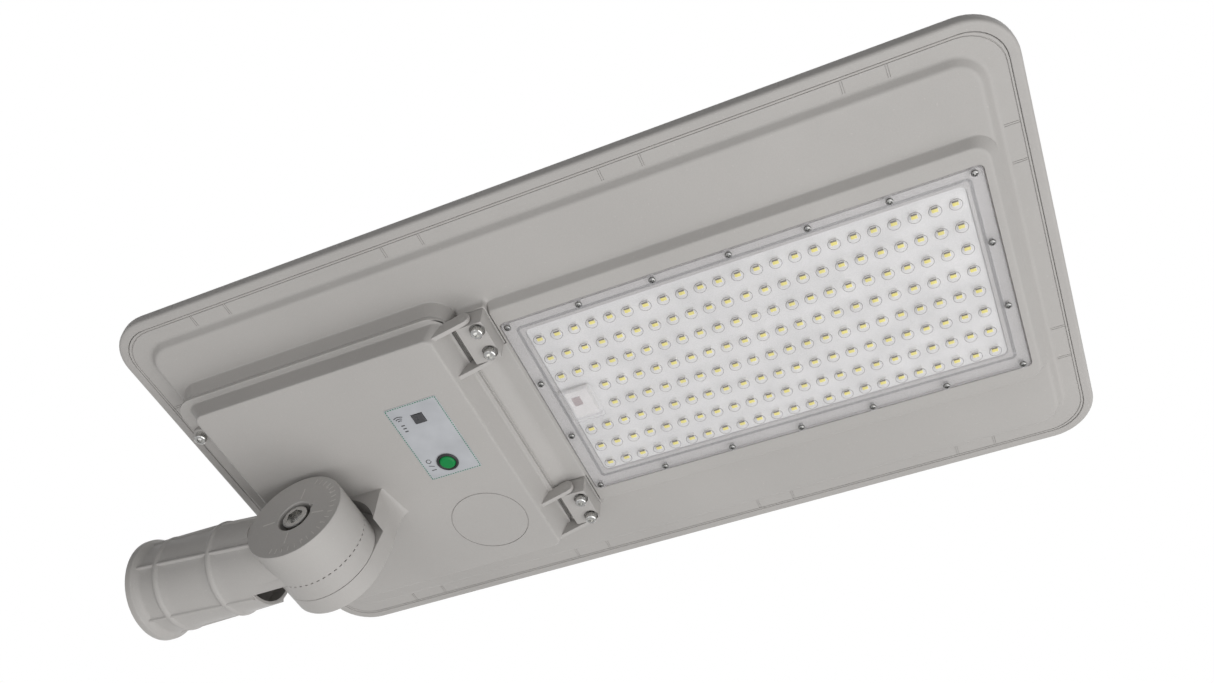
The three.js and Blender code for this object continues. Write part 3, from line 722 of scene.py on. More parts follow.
def make_led_board():
    """The white board with its LED chips: a body, a phosphor square and a dark strip of painted shade on
    the -Y side of each.
    """
    board = cad("led_board")
    parts = [(mesh_of(loft([
        ring(outline(board), 5, board.z1), ring(outline(board), 5, board.z0 + 0.2),
        ring(inset(outline(board), 0.2), 4.8, board.z0),
    ])), 0)]
    top = board.z0
    bodies, phosphors, edges = [], [], []
    for x, y in led_places():
        bodies.append(block(x - 2.9, x + 2.9, y - 2.5, y + 2.9, top - 3.3, top + 0.1))
        phosphors.append(block(x - 2.4, x + 2.4, y - 0.9, y + 2.2, top - 3.8, top - 3.2))
        # A dark strip on each chip's -Y side: painted shade, not a part of the chip.
        edges.append(block(x - 2.5, x + 2.5, y - 2.1, y - 1.0, top - 3.95, top - 3.2))
    for group, index in ((bodies, 1), (phosphors, 2), (edges, 3)):
        parts.append((mesh_of(several(*group)), index))
    piece(
        "led_board", painted(parts), "lamp_body",
        [SOLDER_MASK, CHIP_BODY, PHOSPHOR, CHIP_SHADE],
    )


def make_cable_connector():
    box = cad("cable_connector")
    shell = mesh_of(block(*box), 0.8)
    pins = mesh_of(block(box.x0 + 4, box.x1 - 9, -9, 1, box.z0 - 0.5, box.z0 + 1), 0.4)
    piece(
        "cable_connector", painted([(shell, 0), (pins, 1)]), "lamp_body",
        [WHITE_NYLON, PINK_NYLON],
    )


def cross_head(at, radius, height):
    """A pan head with a cross recess, seen from below: its bearing face is at the given point."""
    x, y, z = at
    head = turned([
        (radius, 0), (radius, -height * 0.35), (radius * 0.88, -height * 0.75),
        (radius * 0.6, -height), (0.3, -height * 1.05),
    ], at, segments=24)
    arm, wide, deep = radius * 0.62, radius * 0.2, height * 0.6
    slots = [
        mesh_of(block(x - dx, x + dx, y - dy, y + dy, z - height * 1.2, z - height + deep))
        for dx, dy in ((arm, wide), (wide, arm))
    ]
    return carve(mesh_of(head), [], slots)


def make_lens_screws():
    """Small pan heads with a cross recess, and their shanks."""
    seat_z = 82.15
    for i, (x, y) in enumerate(LENS_SCREWS, start=1):
        node = f"lens_screw_{i:02d}"
        length = cad(node).z1 - seat_z
        head = cross_head((x, y, seat_z), 2.9, 1.7)
        shank = mesh_of(turned([
            (1.8, 0.2), (1.8, length - 0.65), (1.2, length),
        ], (x, y, seat_z), segments=16))
        piece(node, painted([(head, 0), (shank, 0)]), "lamp_body", SCREW_STEEL)


def cap_screw(node, head_height, head_radius, body):
    """A socket-head cap screw: knurled rim, hexagon socket, shank above the head."""
    box = cad(node)
    x, y, _ = centre(box)
    low = box.z0
    head = turned([
        (head_radius * 0.86, 0), (head_radius, 0.6), (head_radius, head_height),
    ], (x, y, low), segments=40)
    socket = loft([circle(head_radius * 0.56, 6, (x, y, low + z)) for z in (-1, head_height * 0.62)])
    knurls = [
        rod(0.28, 0.9, head_height - 0.4, point, segments=6)
        for point in circle(head_radius, 20, (x, y, low))
    ]
    solid = carve(mesh_of(head), [], [mesh_of(socket), mesh_of(several(*knurls))])
    shank = mesh_of(turned([
        (2.5, head_height - 0.1), (2.5, box.z1 - low - 0.6), (1.9, box.z1 - low),
    ], (x, y, low), segments=20))
    piece(node, painted([(solid, 0), (shank, 0)]), body, STEEL)


def make_hinge_blocks():
    """The two blocks that hold the hinge pins, counterbored for two cap screws each."""
    for i in (1, 2):
        node = f"hinge_block_{i}"
        box = cad(node)
        soft_block = mesh_of(block(*box), 0.7)
        bores = [mesh_of(rod(3.3, -30, 30, (PIN[0], centre(box)[1], PIN[2]), "y", 24))]
        for x, y in BLOCK_SCREWS:
            if box.y0 < y < box.y1:
                bores.append(mesh_of(turned([
                    (3.1, 40), (3.1, 3.2), (6.4, 2.2), (7.0, -2),
                ], (x, y, box.z0), segments=32)))
        piece(
            node, carve(soft_block, [], bores), "lamp_body", CAST,
        )
    for j in (1, 2, 3, 4):
        cap_screw(f"hinge_block_screw_{j}", 6, 5.0, "lamp_body")


def make_solar_cells():
    """The laminate under the glass: a dark sheet with a grid of cells joined by flat ribbons."""
    box = cad("solar_cells")
    sheet_rect = outline(box)
    sheet = mesh_of(loft([ring(sheet_rect, 31, z) for z in (box.z0, box.z1 - 0.35)]))
    columns, rows, margin, gap, chamfer = 9, 4, 17.0, 3.0, 9.0
    pitch_x = (sheet_rect.x1 - sheet_rect.x0 - 2 * margin) / columns
    pitch_y = (sheet_rect.y1 - sheet_rect.y0 - 2 * margin) / rows
    low, high = box.z1 - 0.36, box.z1 - 0.12
    cells, ribbons = [], []
    for i in range(columns):
        for j in range(rows):
            x0 = sheet_rect.x0 + margin + i * pitch_x + gap / 2
            y0 = sheet_rect.y0 + margin + j * pitch_y + gap / 2
            x1, y1 = x0 + pitch_x - gap, y0 + pitch_y - gap
            corner = [
                (x0 + chamfer, y0), (x1 - chamfer, y0), (x1, y0 + chamfer), (x1, y1 - chamfer),
                (x1 - chamfer, y1), (x0 + chamfer, y1), (x0, y1 - chamfer), (x0, y0 + chamfer),
            ]
            cells.append(loft([[(x, y, z) for x, y in corner] for z in (low, high)]))
    bars = 5
    for j in range(rows):
        y0 = sheet_rect.y0 + margin + j * pitch_y
        for k in range(bars):
            y = y0 + pitch_y * (k + 0.5) / bars
            ribbons.append(block(
                sheet_rect.x0 + margin - 3, sheet_rect.x1 - margin + 3, y - 0.7, y + 0.7,
                high - 0.02, box.z1,
            ))
    for x in (sheet_rect.x0 + margin - 5.5, sheet_rect.x1 - margin + 5.5):
        ribbons.append(block(
            x - 2.5, x + 2.5, sheet_rect.y0 + margin + 12, sheet_rect.y1 - margin - 12, low, box.z1,
        ))
    parts = [(sheet, 0), (mesh_of(several(*cells)), 1), (mesh_of(several(*ribbons)), 2)]
    piece(
        "solar_cells", painted(parts), "lamp_body", [BACKSHEET, CELL, BARE_METAL],
    )


def make_solar_glass():
    box = cad("solar_glass")
    r = outline(box)
    rings = [ring(inset(r, 0.5), 30.5, box.z0), ring(r, 31, box.z0 + 0.5)]
    rings += [ring(r, 31, box.z1 - 0.6), ring(inset(r, 0.6), 30.4, box.z1)]
    piece("solar_glass", mesh_of(loft(rings)), "lamp_body", GLASS_SKIN)


def make_gasket(node, body, radius):
    """A rubber cord seal with a rounded section."""
    box = cad(node)
    width = 3.0 if body == "mount_cover" else 4.0
    section = rounded([
        (0, (box.z0 + box.z1) / 2), (0, box.z1), (width, box.z1), (width, box.z0), (0, box.z0),
        (0, (box.z0 + box.z1) / 2),
    ], 0.9, 3)[:-1]
    rings = [ring(inset(outline(box), d), radius - d, z) for d, z in section]
    piece(node, mesh_of(loft(rings, closed=True)), body, RUBBER)


def make_battery():
    """Rows of round cells in one shrink wrap, with end boards; the strap that holds them keeps its CAD
    shape.
    """
    box = cad("battery_pack")
    cells = 7
    pitch = (box.x1 - box.x0) / cells
    radius = pitch / 2 + 0.25
    tubes = []
    middle = [box.z0 + radius, box.z1 - radius]
    for i in range(cells):
        x = box.x0 + pitch * (i + 0.5)
        for z in middle:
            tubes.append(mesh_of(turned([
                (radius - 1.2, box.y0 + 1.6), (radius, box.y0 + 3), (radius, box.y1 - 3),
                (radius - 1.2, box.y1 - 1.6),
            ], (x, 0, z), "y", 28)))
    core = mesh_of(block(box.x0 + 4, box.x1 - 4, box.y0 + 2, box.y1 - 2, box.z0 + 4, box.z1 - 4))
    wrap = carve(core, tubes)
    boards = [
        mesh_of(block(box.x0 + 3, box.x1 - 3, y0, y1, box.z0 + 3, box.z1 - 3), 0.5)
        for y0, y1 in ((box.y0, box.y0 + 1.8), (box.y1 - 1.8, box.y1))
    ]
    parts = [(wrap, 0), *((board, 1) for board in boards)]
    piece(
        "battery_pack", painted(parts), "lamp_body", [BATTERY_WRAP, BLACK_PLASTIC],
    )


def make_controller():
    """A finned box with a row of screw terminals."""
    box = cad("charge_controller")
    case = mesh_of(block(box.x0, box.x1, box.y0, box.y1, box.z0 + 3, box.z1), 1.2)
    fins = []
    count = 9
    for i in range(count):
        x = box.x0 + 8 + i * (box.x1 - box.x0 - 16) / (count - 1)
        fins.append(block(x - 1, x + 1, box.y0 + 16, box.y1 - 5, box.z0, box.z0 + 4))
    terminals = mesh_of(block(
        box.x0 + 6, box.x1 - 6, box.y0 + 2, box.y0 + 11, box.z0 + 0.4, box.z0 + 4,
    ), 0.5)
    screws = [
        rod(2.2, 0.1, 1.2, (box.x0 + 12 + i * 11, box.y0 + 6.5, box.z0), segments=16)
        for i in range(5)
    ]
    finned = carve(case, [mesh_of(several(*fins))])
    parts = [(finned, 0), (terminals, 1), (mesh_of(several(*screws)), 2)]
    piece(
        "charge_controller", painted(parts), "lamp_body", [BLACK_PLASTIC, WHITE_NYLON, STEEL],
    )


# ---------------------------------------------------------------- mount cover


def ear_outline():
    """The gusset of a hinge ear in X and Z, from the cover's front wall to a round end on the pin."""
    x, z = PIN[0], PIN[2]
    radius = 7.0
    points = [(338, 75.4), (338, 55.5)]
    for i in range(13):
        a = math.radians(-78 + i * 14)
        points.append((x + radius * math.cos(a), z + radius * math.sin(a)))
    points += [(361.5, 77.5), (359.5, 75.4)]
    return points


def root_fillet(front, face_z):
    """The hollow curve from the arm root's front face to the cover, wider towards +Y."""
    steps = 8
    rings = []
    for y, width, height in ((3.4, 1.6, 5.0), (39.4, 9.5, 29.0)):
        points = [(front - 3, y, face_z + 1.5)]
        points += [(front - 3, y, face_z - height), (front, y, face_z - height)]
        for i in range(1, steps):
            a = math.radians(90 * i / steps)
            points.append((
                front + width * (1 - math.cos(a)), y, face_z - height * (1 - math.sin(a)),
            ))
        points += [(front + width, y, face_z - 0.01), (front + width, y, face_z + 1.5)]
        rings.append(points)
    return loft(rings)


def cover_shell():
    """The cover's lip, sloping walls and flat face with its screw bosses, hollow from above."""
    lip = Rect(86.5, 355, -139.3, 139.3)
    foot, face = Rect(98.5, 351.5, -133.8, 133.8), Rect(111, 342, -132, 132)
    lip_z, foot_z, face_z = COVER_LIP_Z, COVER_FOOT_Z, COVER_FACE_Z
    wall = rounded([(-3.2, foot_z), (0, foot_z), (1, face_z), (4.5, face_z)], 3.4, 6)
    rings = [
        ring(inset(lip, 0.4), 17.6, lip_z), ring(lip, 18, lip_z - 0.4), ring(lip, 18, foot_z + 0.9),
        ring(inset(lip, 0.3), 17.7, foot_z + 0.25), ring(inset(lip, 1.0), 17, foot_z),
    ]
    for s, z in wall:
        if s < 0:
            r, radius = inset(foot, s), 10 - s
        elif s > 1:
            r, radius = inset(face, s - 1), 8 - (s - 1) * 0.8
        else:
            r, radius = between(foot, face, s), 10 - 2 * s
        rings.append(ring(r, radius, z))
    bosses = [
        turned([(7.1, 67.3), (7.5, 67.7), (7.5, 74)], (x, y, 0), segments=32) for x, y in COVER_SCREWS
    ]
    hollow = loft([
        ring(inset(foot, 3), 7, lip_z + 1), ring(inset(foot, 3), 7, foot_z),
        ring(inset(face, 4), 6, face_z + 4.5), ring(inset(face, 6), 5, face_z + 3),
    ])
    return carve(mesh_of(loft(rings)), [mesh_of(several(*bosses))], [mesh_of(hollow)])


def arm_root():
    """The moving disc, its neck, the column that carries it and the hollow curve at its foot."""
    x = KNUCKLE_AXIS[0]
    disc = mesh_of(turned([
        (KNUCKLE_RADIUS - 0.9, DISC_Y0), (KNUCKLE_RADIUS - 0.2, DISC_Y0 + 0.3),
        (KNUCKLE_RADIUS, DISC_Y0 + 0.9), (KNUCKLE_RADIUS, DISC_Y1 - 1.8),
        (KNUCKLE_RADIUS - 0.6, DISC_Y1 - 0.6), (KNUCKLE_RADIUS - 1.9, DISC_Y1),
    ], KNUCKLE_AXIS, "y", 96))
    neck = mesh_of(prism([
        (130, 55), (127, 18), (x, 0), (213, -12), (ROOT_FRONT, 14), (ROOT_FRONT, 55),
    ], DISC_Y0, DISC_Y1), 1.2)
    column_front = ROOT_FRONT - 0.02
    column = mesh_of(prism([
        (150, 55), (150, 40), (200, 16), (column_front, 16), (column_front, 55),
    ], 3, 38), 0.5)
    pocket = mesh_of(rod(53.2, -1, DISC_Y0, KNUCKLE_AXIS, "y", 96))
    return [disc, neck, carve(column, [], [pocket]), mesh_of(root_fillet(ROOT_FRONT, COVER_FACE_Z))]


def make_mount_cover():
    """The battery cover: its shell with the hinge ears, the arm root and the openings in its face."""
    ears = []
    for side in SIDES:
        for y0, y1 in ((80.4, 84.6), (125.4, 129.6)):
            y0, y1 = sorted((side * y0, side * y1))
            ears.append(mesh_of(prism(ear_outline(), y0, y1), 0.7))
    cuts = [
        mesh_of(rod(BOLT_BORE, 15, 45, KNUCKLE_AXIS, "y", 32)),
        mesh_of(loft([circle(14.5, 6, (KNUCKLE_AXIS[0], along, 0), "y") for along in (30, 45)])),
        mesh_of(rod(9.2, 40, 60, (BUTTON[0], BUTTON[1], 0), segments=32)),
        mesh_of(block(*inset(outline(RECEIVER), -0.4), 40, 60)),
        mesh_of(several(*[rod(3.4, 60, 80, (x, y, 0), segments=24) for x, y in COVER_SCREWS])),
        mesh_of(several(*[
            rod(3.3, -60, 60, (PIN[0], side * 105, PIN[2]), "y", 24) for side in SIDES
        ])),
    ]
    mark_centre, mark_radius, mark_width = (294, 77, 0), 35.5, 0.9
    mark_path = [(x, y) for x, y, _ in circle(mark_radius, 96, mark_centre)]
    mark = strip(mark_path, mark_width, COVER_FACE_Z - 0.5, COVER_FACE_Z + 0.7, closed=True)
    mesh = carve(cover_shell(), [*ears, *arm_root()], [*cuts, mesh_of(mark)])
    piece("mount_cover", mesh, "mount_cover", CAST)


def make_index_ring():
    """The ring between the discs, its edge cut with fine teeth where the lamp's tilt is indexed."""
    box = cad("tilt_index_ring")
    teeth = 50
    segments = teeth * 6

    def toothed(y, depth):
        """The ring's edge at y, with every tooth's gap cut to a depth."""
        points = []
        for i in range(segments):
            radius = KNUCKLE_RADIUS - (depth if i % 6 in (0, 1) else 0)
            a = 2 * math.pi * i / segments
            points.append((KNUCKLE_AXIS[0] + radius * math.sin(a), y, radius * math.cos(a)))
        return points

    start, gap_depth = 0.02, 2.4
    rings = [
        toothed(start, gap_depth), toothed(start + 1.0, gap_depth), toothed(start + 1.05, 0),
        toothed(box.y1 - 0.4, 0),
        circle(KNUCKLE_RADIUS - 0.5, segments, (KNUCKLE_AXIS[0], box.y1, 0), "y"),
    ]
    bore = mesh_of(rod(BOLT_BORE, -2, 25, KNUCKLE_AXIS, "y", 32))
    piece(
        "tilt_index_ring", carve(mesh_of(loft(rings)), [], [bore]), "mount_cover", SLEEVE,
        25,
    )


def make_label():
    """A film with a dashed green border and generic signs at the receiver and the button."""
    box = cad("control_label")
    low = box.z0 + 0.2
    r = outline(box)
    film = mesh_of(loft([
        ring(inset(r, 0.2), 1.3, low), ring(r, 1.5, low + 0.12), ring(r, 1.5, COVER_FACE_Z - 0.01),
    ]))
    film = carve(film, [], [
        mesh_of(rod(8.8, 50, 54, (BUTTON[0], BUTTON[1], 0), segments=32)),
        mesh_of(block(*inset(outline(RECEIVER), -0.3), 50, 54)),
    ])
    ink_low, ink_high = low - 0.06, low + 0.05
    border = inset(r, 1.0)
    dashes = []
    dash, gap, width = 1.5, 0.9, 0.8
    corners = [
        (border.x0, border.y0), (border.x1, border.y0), (border.x1, border.y1), (border.x0, border.y1),
    ]
    for (ax, ay), (bx, by) in zip(corners, corners[1:] + corners[:1]):
        length = math.hypot(bx - ax, by - ay)
        count = int(length / (dash + gap))
        ux, uy = (bx - ax) / length, (by - ay) / length
        for i in range(count):
            s = i * length / count
            dashes.append(strip([
                (ax + ux * s, ay + uy * s), (ax + ux * (s + dash), ay + uy * (s + dash)),
            ], width, ink_low, ink_high))
    signs = []

    def arc(x, y, radius, start, end, width=0.7):
        """Adds a curved line to the signs, from start to end in degrees."""
        steps = 12
        angles = [math.radians(start + (end - start) * i / steps) for i in range(steps + 1)]
        signs.append(strip([
            (x + radius * math.cos(a), y + radius * math.sin(a)) for a in angles
        ], width, ink_low, ink_high))

    def line(x0, y0, x1, y1, width):
        """Adds a straight line to the signs."""
        signs.append(strip([(x0, y0), (x1, y1)], width, ink_low, ink_high))

    sign_x = r.x0 + 8
    sign_y = BUTTON[1]
    wave_y = RECEIVER.y0 + 5
    for radius in (3, 5.2, 7.4):
        arc(sign_x, wave_y, radius, 235, 305, 0.8)
    for dy in (3, 6.5, 10):
        line(sign_x - 1.6, wave_y + dy, sign_x + 1.6, wave_y + dy, 1.1)
    arc(sign_x, sign_y - 6, 2.2, 0, 340)
    line(sign_x - 2.4, sign_y - 1, sign_x + 2.4, sign_y + 1, 0.7)
    line(sign_x - 2.3, sign_y + 5, sign_x + 2.3, sign_y + 5, 0.9)
    parts = [(film, 0), (mesh_of(several(*dashes)), 1), (mesh_of(several(*signs)), 2)]
    piece(
        "control_label", painted(parts), "mount_cover", [LABEL_FILM, GREEN_INK, BLACK_INK],
    )


def make_controls():
    """The receiver's window, the switch with its bezel, and the green button."""
    piece(
        "receiver_window", mesh_of(block(*RECEIVER), 0.6, 3), "mount_cover", WINDOW_PLASTIC,
    )
    switch = cad("switch_body")
    x, y, _ = centre(switch)
    low = switch.z0
    bezel = turned([
        (8.9, switch.z1 - 4), (8.7, switch.z1 - 5), (8.7, low + 1.4), (9.9, low + 1.1), (9.9, low + 0.5),
        (9.2, low), (8.0, low), (7.5, low + 0.5), (7.5, low + 11), (6.8, low + 11.5), (6.8, switch.z1 - 4),
    ], (x, y, 0), segments=48, closed=True)
    piece("switch_body", mesh_of(bezel), "mount_cover", BLACK_PLASTIC)
    button = cad("power_button")
    radius = (button.x1 - button.x0) / 2
    cap = rounded([
        (0.2, button.z0), (radius - 1.6, button.z0 + 0.05), (radius, button.z0 + 1.2), (radius, button.z1),
    ], 1.4, 5)
    piece(
        "power_button", mesh_of(turned(cap, (x, y, 0), segments=48)), "power_button", GREEN_PLASTIC,
    )


def make_hinge_pins():
    """Steel pins whose painted ends show outside the ears."""
    for i in (1, 2):
        node = f"hinge_pin_{i}"
        box = cad(node)
        half = (box.y1 - box.y0) / 2
        x, y, z = centre(box)
        pin = rod(3, -half + 0.7, half - 0.7, (x, y, z), "y", 32)
        ends = [
            turned([
                (1.8, side * half), (3.2, side * (half - 0.5)), (3.2, side * (half - 1.2)),
            ], (x, y, z), "y", 32)
            for side in SIDES
        ]
        piece(
            node, painted([(mesh_of(pin), 0), (mesh_of(several(*ends)), 1)]), "mount_cover",
            [STEEL, CAST],
        )


def make_tilt_nut():
    """A hexagon nut, 24 mm across its flats, with bevelled corners."""
    box = cad("tilt_nut")
    flats = 24 / math.sqrt(3)
    rings = [circle(radius, 6, (KNUCKLE_AXIS[0], y, 0), "y") for radius, y in (
        (flats - 1.3, box.y0), (flats, box.y0 + 0.8), (flats, box.y1 - 1.2), (flats - 1.8, box.y1),
    )]
    bore = mesh_of(rod(8.2, box.y0 - 1, box.y1 + 1, KNUCKLE_AXIS, "y", 32))
    piece("tilt_nut", carve(mesh_of(loft(rings)), [], [bore]), "mount_cover", STEEL)


# ---------------------------------------------------------------- pole arm


def sleeve_tube():
    """The turned tube: a rounded mouth flange, two ring ribs and a flared inner end."""
    bore, tube, rib, flange, end = SLEEVE_BORE, SLEEVE_TUBE, SLEEVE_RIB, SLEEVE_FLANGE, SLEEVE_END
    mouth = rounded([(bore + 0.8, 0), (flange, 0), (flange, 4)], 0.9, 3)
    flank = [(flange, 4), (flange, 6), (tube, 10), (tube, 19)]
    for x in (26, 82):
        flank += [(tube, x - 7), (tube + 0.9, x - 0.5), (rib, x + 1.2), (rib, x + 3.8)]
        flank += [(tube + 0.9, x + 5.5), (tube, x + 12)]
    flank += [(tube, end - 3)]
    lip = rounded([
        (tube, end - 3), (tube, end), (37, end), (36.4, 101), (bore, 94), (bore, 60),
    ], 0.7, 3)
    profile = [(bore, 0.8), *mouth[:-1], *rounded(flank, 3.2, 4)[:-1], *lip]
    return mesh_of(turned(profile, (0, 0, 0), "x", 96, closed=True))


def sleeve_rib(degrees):
    """A rib along the sleeve, at an angle at the mouth and slowly turning round it."""
    tube, rib, steps = SLEEVE_TUBE, SLEEVE_RIB, 24
    section = rounded([
        (-9.0, -tube + 3), (-6.5, -tube + 0.6), (-1.9, -tube - 0.4), (-0.9, -rib + 0.3),
        (0.9, -rib + 0.3), (1.9, -tube - 0.4), (6.5, -tube + 0.6), (9.0, -tube + 3),
    ], 0.8, 3)
    meets_knuckle = math.cos(math.radians(degrees)) > 0.5
    rib_end = KNUCKLE_AXIS[0] - 30 if meets_knuckle else SLEEVE_END - 1
    rings = []
    for i in range(steps + 1):
        along = RIB_START + (rib_end - RIB_START) * i / steps
        turn = Matrix.Rotation(math.radians(degrees + RIB_TWIST * along), 3, "X")
        rings.append([tuple(turn @ Vector((along, y, z))) for z, y in section])
    return mesh_of(loft(rings))


def disc_marks():
    """Raised lines on the fixed disc's face: four long ones at the bolt and short ones at the edge."""
    face = FIXED_DISC_Y
    ticks = [(degrees, 19, 31, 1.1) for degrees in (-8, 84, 183, 268)]
    ticks += [(degrees, 36, 41, 0.7) for degrees in range(-110, 71, 9)]
    ticks += [(degrees, 35.5, 37.5, 1.2) for degrees in (-92, -63, -30, 27, 40)]
    marks = []
    for degrees, near, far, width in ticks:
        vertices, faces = block(near, far, face - 0.22, face + 0.5, -width / 2, width / 2)
        turn = Matrix.Rotation(math.radians(-degrees), 3, "Y")
        moved = [tuple(turn @ Vector(v) + Vector(KNUCKLE_AXIS)) for v in vertices]
        marks.append((moved, faces))
    return mesh_of(several(*marks))


def make_pole_sleeve():
    """The ribbed sleeve, the neck that tapers to the knuckle, and the fixed disc."""
    x_axis, face = KNUCKLE_AXIS[0], FIXED_DISC_Y
    taper_start, taper = 96, 0.0045
    ribs = [sleeve_rib(degrees) for degrees in (-37, 12, 82, 143, 191, 264)]
    disc = mesh_of(turned([
        (KNUCKLE_RADIUS - 1.5, face), (KNUCKLE_RADIUS - 0.45, face + 0.4),
        (KNUCKLE_RADIUS, face + 1.4), (KNUCKLE_RADIUS, 0),
    ], KNUCKLE_AXIS, "y", 96))
    neck = carve(
        mesh_of(rod(SLEEVE_TUBE, SLEEVE_END - 1, x_axis, (0, 0, 0), "x", 96)), [],
        [mesh_of(block(SLEEVE_END - 2, x_axis + 1, -0.01, 60, -60, 60))],
    )
    before_face = mesh_of(rod(KNUCKLE_RADIUS, face - 10, face, KNUCKLE_AXIS, "y", 96))
    tubes = carve(sleeve_tube(), [*ribs, neck])
    for vertex in tubes.vertices:
        past = vertex.co.x / MM - taper_start
        if past > 0 and vertex.co.z > 0:
            vertex.co.z *= 1 - taper * past
    tubes = carve(tubes, [], [before_face])
    notch_angle, notch_reach = math.radians(24), 16.2
    notch = (
        x_axis + notch_reach * math.cos(notch_angle), 0, notch_reach * math.sin(notch_angle),
    )
    cuts = [
        mesh_of(rod(BOLT_BORE, -60, 5, KNUCKLE_AXIS, "y", 32)),
        mesh_of(turned([
            (16.6, face - 0.5), (16.4, face), (15.6, face + 0.8), (15.6, face + 19),
        ], KNUCKLE_AXIS, "y", 64)),
        mesh_of(rod(2.6, face - 1, face + 3, notch, "y", 20)),
        mesh_of(several(*[rod(5.3, 28, 50, (x, y, 0), segments=24) for x, y in SET_SCREWS])),
    ]
    solid = carve(tubes, [disc], cuts)
    # The disc's marks take the lighter sleeve paint: a painted highlight on their raised edges.
    sleeve = painted([(solid, 0), (disc_marks(), 1)])
    piece("pole_sleeve", sleeve, "pole_arm", [SLEEVE, SLEEVE_HIGHLIGHT])


def make_set_screws():
    """Hexagon-headed screws that clamp the pole from above."""
    for i, (x, y) in enumerate(SET_SCREWS, start=1):
        node = f"pole_set_screw_{i}"
        box = cad(node)
        head = loft([circle(radius, 6, (x, y, z)) for radius, z in (
            (7.8, box.z1 - 7), (9, box.z1 - 6.4), (9, box.z1 - 0.9), (7.7, box.z1),
        )])
        shank = turned([(4.2, box.z0), (5, box.z0 + 1), (5, box.z1 - 6.5)], (x, y, 0), segments=24)
        piece(
            node, carve(mesh_of(head), [mesh_of(shank)]), "pole_arm", STEEL,
        )


def make_tilt_bolt():
    """The clamp bolt: a round head with a hexagon socket in the disc's recess, its end past the nut."""
    box = cad("tilt_bolt")
    start = box.y0
    head = turned([
        (10.6, start), (11.7, start + 0.5), (12, start + 1.2), (12, start + 15),
    ], KNUCKLE_AXIS, "y", 64)
    socket = loft([circle(radius, 6, (KNUCKLE_AXIS[0], y, 0), "y") for radius, y in (
        (8.4, start - 1), (8.0, start + 0.6), (8.0, start + 8),
    )])
    shank = turned([(8, start + 14), (8, box.y1 - 1), (7, box.y1)], KNUCKLE_AXIS, "y", 48)
    mesh = carve(mesh_of(head), [mesh_of(shank)], [mesh_of(socket)])
    piece("tilt_bolt", mesh, "pole_arm", STEEL)
    washer = cad("tilt_bolt_washer")
    washer_ring = turned([
        (8.5, washer.y0), (14.1, washer.y0), (14.5, washer.y0 + 0.4), (14.5, washer.y1), (8.5, washer.y1),
    ], KNUCKLE_AXIS, "y", 64, closed=True)
    piece(
        "tilt_bolt_washer", mesh_of(washer_ring), "pole_arm", STEEL,
    )


def dress_kept_nodes():
    """The strap and the wiring lead keep their CAD shape and get their materials here."""
    for node, material in (("battery_strap", BARE_METAL), ("wiring_lead", RUBBER)):
        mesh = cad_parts[node].data
        mesh.materials.clear()
        mesh.materials.append(material)


# ---------------------------------------------------------------- camera, floor and light


def make_camera():
    """The photograph's own viewpoint: below the lamp, looking up at its underside."""
    right = Vector((0.92129952, 0.38837926, 0.01920269))
    up = Vector((0.29470493, -0.72960073, 0.61711569))
    back = right.cross(up)
    data = bpy.data.cameras.new("camera")
    data.lens = 33.60
    data.sensor_width = 36
    data.clip_start = 0.01
    camera = bpy.data.objects.new("camera", data)
    rotation = Matrix((right, up, back)).transposed()
    camera.matrix_world = Matrix.Translation((0.7092, -0.5931, -0.6698)) @ rotation.to_4x4()
    bpy.context.scene.collection.objects.link(camera)
    bpy.context.scene.camera = camera


def make_floor():
    """A wide pale floor, far enough below for the low viewpoint."""
    top, thickness, reach = -2300, 20, 60000
    look = Look("floor", (0.74, 0.74, 0.74), 0.85)
    look.color(look.ramp(look.noise(0.7, 2), (0.3, (0.73, 0.73, 0.73)), (0.7, (0.75, 0.75, 0.75))))
    mesh = mesh_of(block(-reach, reach, -reach, reach, top - thickness, top))
    mesh.materials.append(look.material)
    floor = bpy.data.objects.new("floor", mesh)
    bpy.context.scene.collection.objects.link(floor)


def plain_view():
    """Colours as the materials give them, with no film-like curve."""
    view = bpy.context.scene.view_settings
    view.view_transform = "Standard"
    view.look = "None"


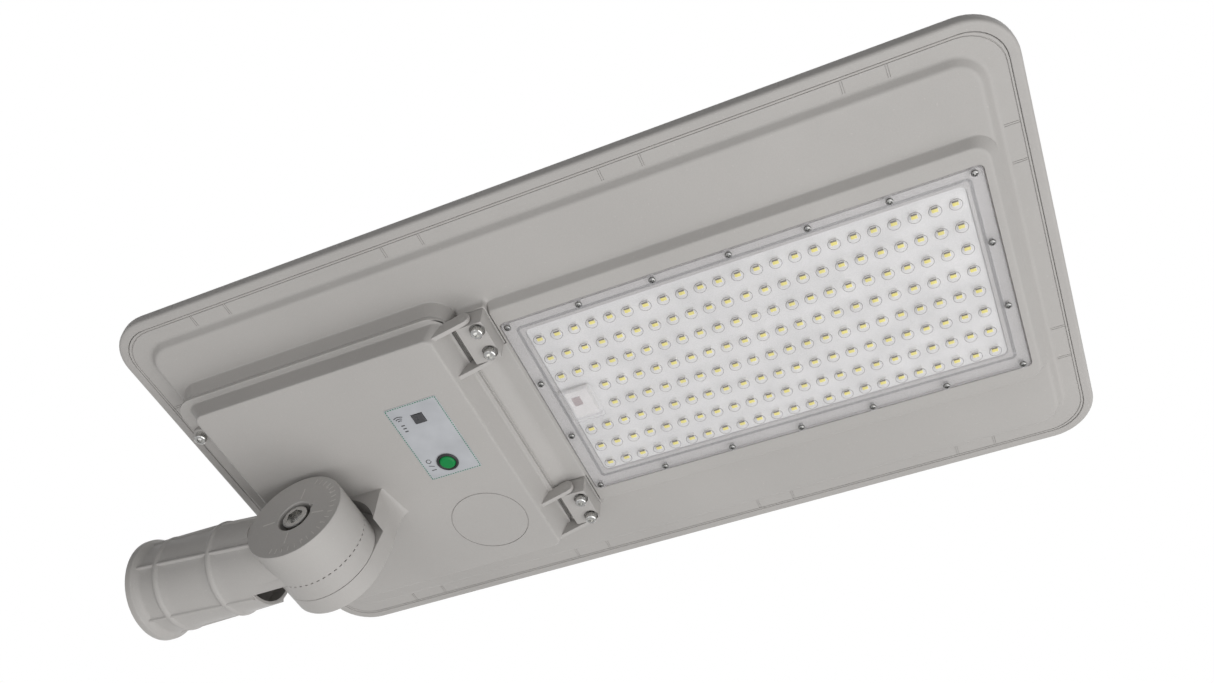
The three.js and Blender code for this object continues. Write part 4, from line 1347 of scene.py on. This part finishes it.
def area_light(name, place, target, size, watts):
    """A soft square lamp that the camera doesn't see."""
    data = bpy.data.lights.new(name, "AREA")
    data.shape = "SQUARE"
    data.size = size
    data.energy = watts
    light = bpy.data.objects.new(name, data)
    light.location = place
    light.rotation_mode = "QUATERNION"
    light.rotation_quaternion = (Vector(target) - Vector(place)).to_track_quat("-Z", "Y")
    light.visible_camera = False
    bpy.context.scene.collection.objects.link(light)


def make_world():
    """White towards +Y and up, where the lamp is seen against it, and dim on the other side."""
    world = bpy.data.worlds.new("studio")
    bpy.context.scene.world = world
    world.use_nodes = True
    tree = world.node_tree
    direction = tree.nodes.new("ShaderNodeTexCoord").outputs["Generated"]
    dot = tree.nodes.new("ShaderNodeVectorMath")
    dot.operation = "DOT_PRODUCT"
    dot.inputs[1].default_value = (0.0, 0.9, 0.436)
    tree.links.new(direction, dot.inputs[0])
    ramp = tree.nodes.new("ShaderNodeValToRGB")
    ramp.color_ramp.elements[0].position = 0.0
    ramp.color_ramp.elements[0].color = (0.17, 0.17, 0.172, 1)
    ramp.color_ramp.elements[1].position = 0.38
    ramp.color_ramp.elements[1].color = (1, 1, 1, 1)
    tree.links.new(dot.outputs["Value"], ramp.inputs["Fac"])
    tree.links.new(ramp.outputs["Color"], tree.nodes["Background"].inputs["Color"])


plain_view()
make_camera()
make_floor()
make_world()
lamp_middle = (0.45, 0.0, 0.08)
area_light("key", (1.5, 0.2, -1.45), lamp_middle, 2.2, 28)
area_light("fill", (0.0, -0.7, -1.4), lamp_middle, 1.5, 3.5)
area_light("top", (0.7, 0.9, 1.9), lamp_middle, 1.6, 10)

make_panel_frame()
make_back_housing()
make_lens_plate()
make_led_board()
make_cable_connector()
make_lens_screws()
make_hinge_blocks()
make_solar_cells()
make_solar_glass()
make_gasket("lens_gasket", "lamp_body", 5)
make_gasket("cover_gasket", "mount_cover", 10)
make_battery()
make_controller()
make_mount_cover()
make_index_ring()
make_label()
make_controls()
make_hinge_pins()
for screw_number in (1, 2):
    cap_screw(f"cover_screw_{screw_number}", 6, 5.2, "mount_cover")
make_tilt_nut()
make_pole_sleeve()
make_set_screws()
make_tilt_bolt()
dress_kept_nodes()
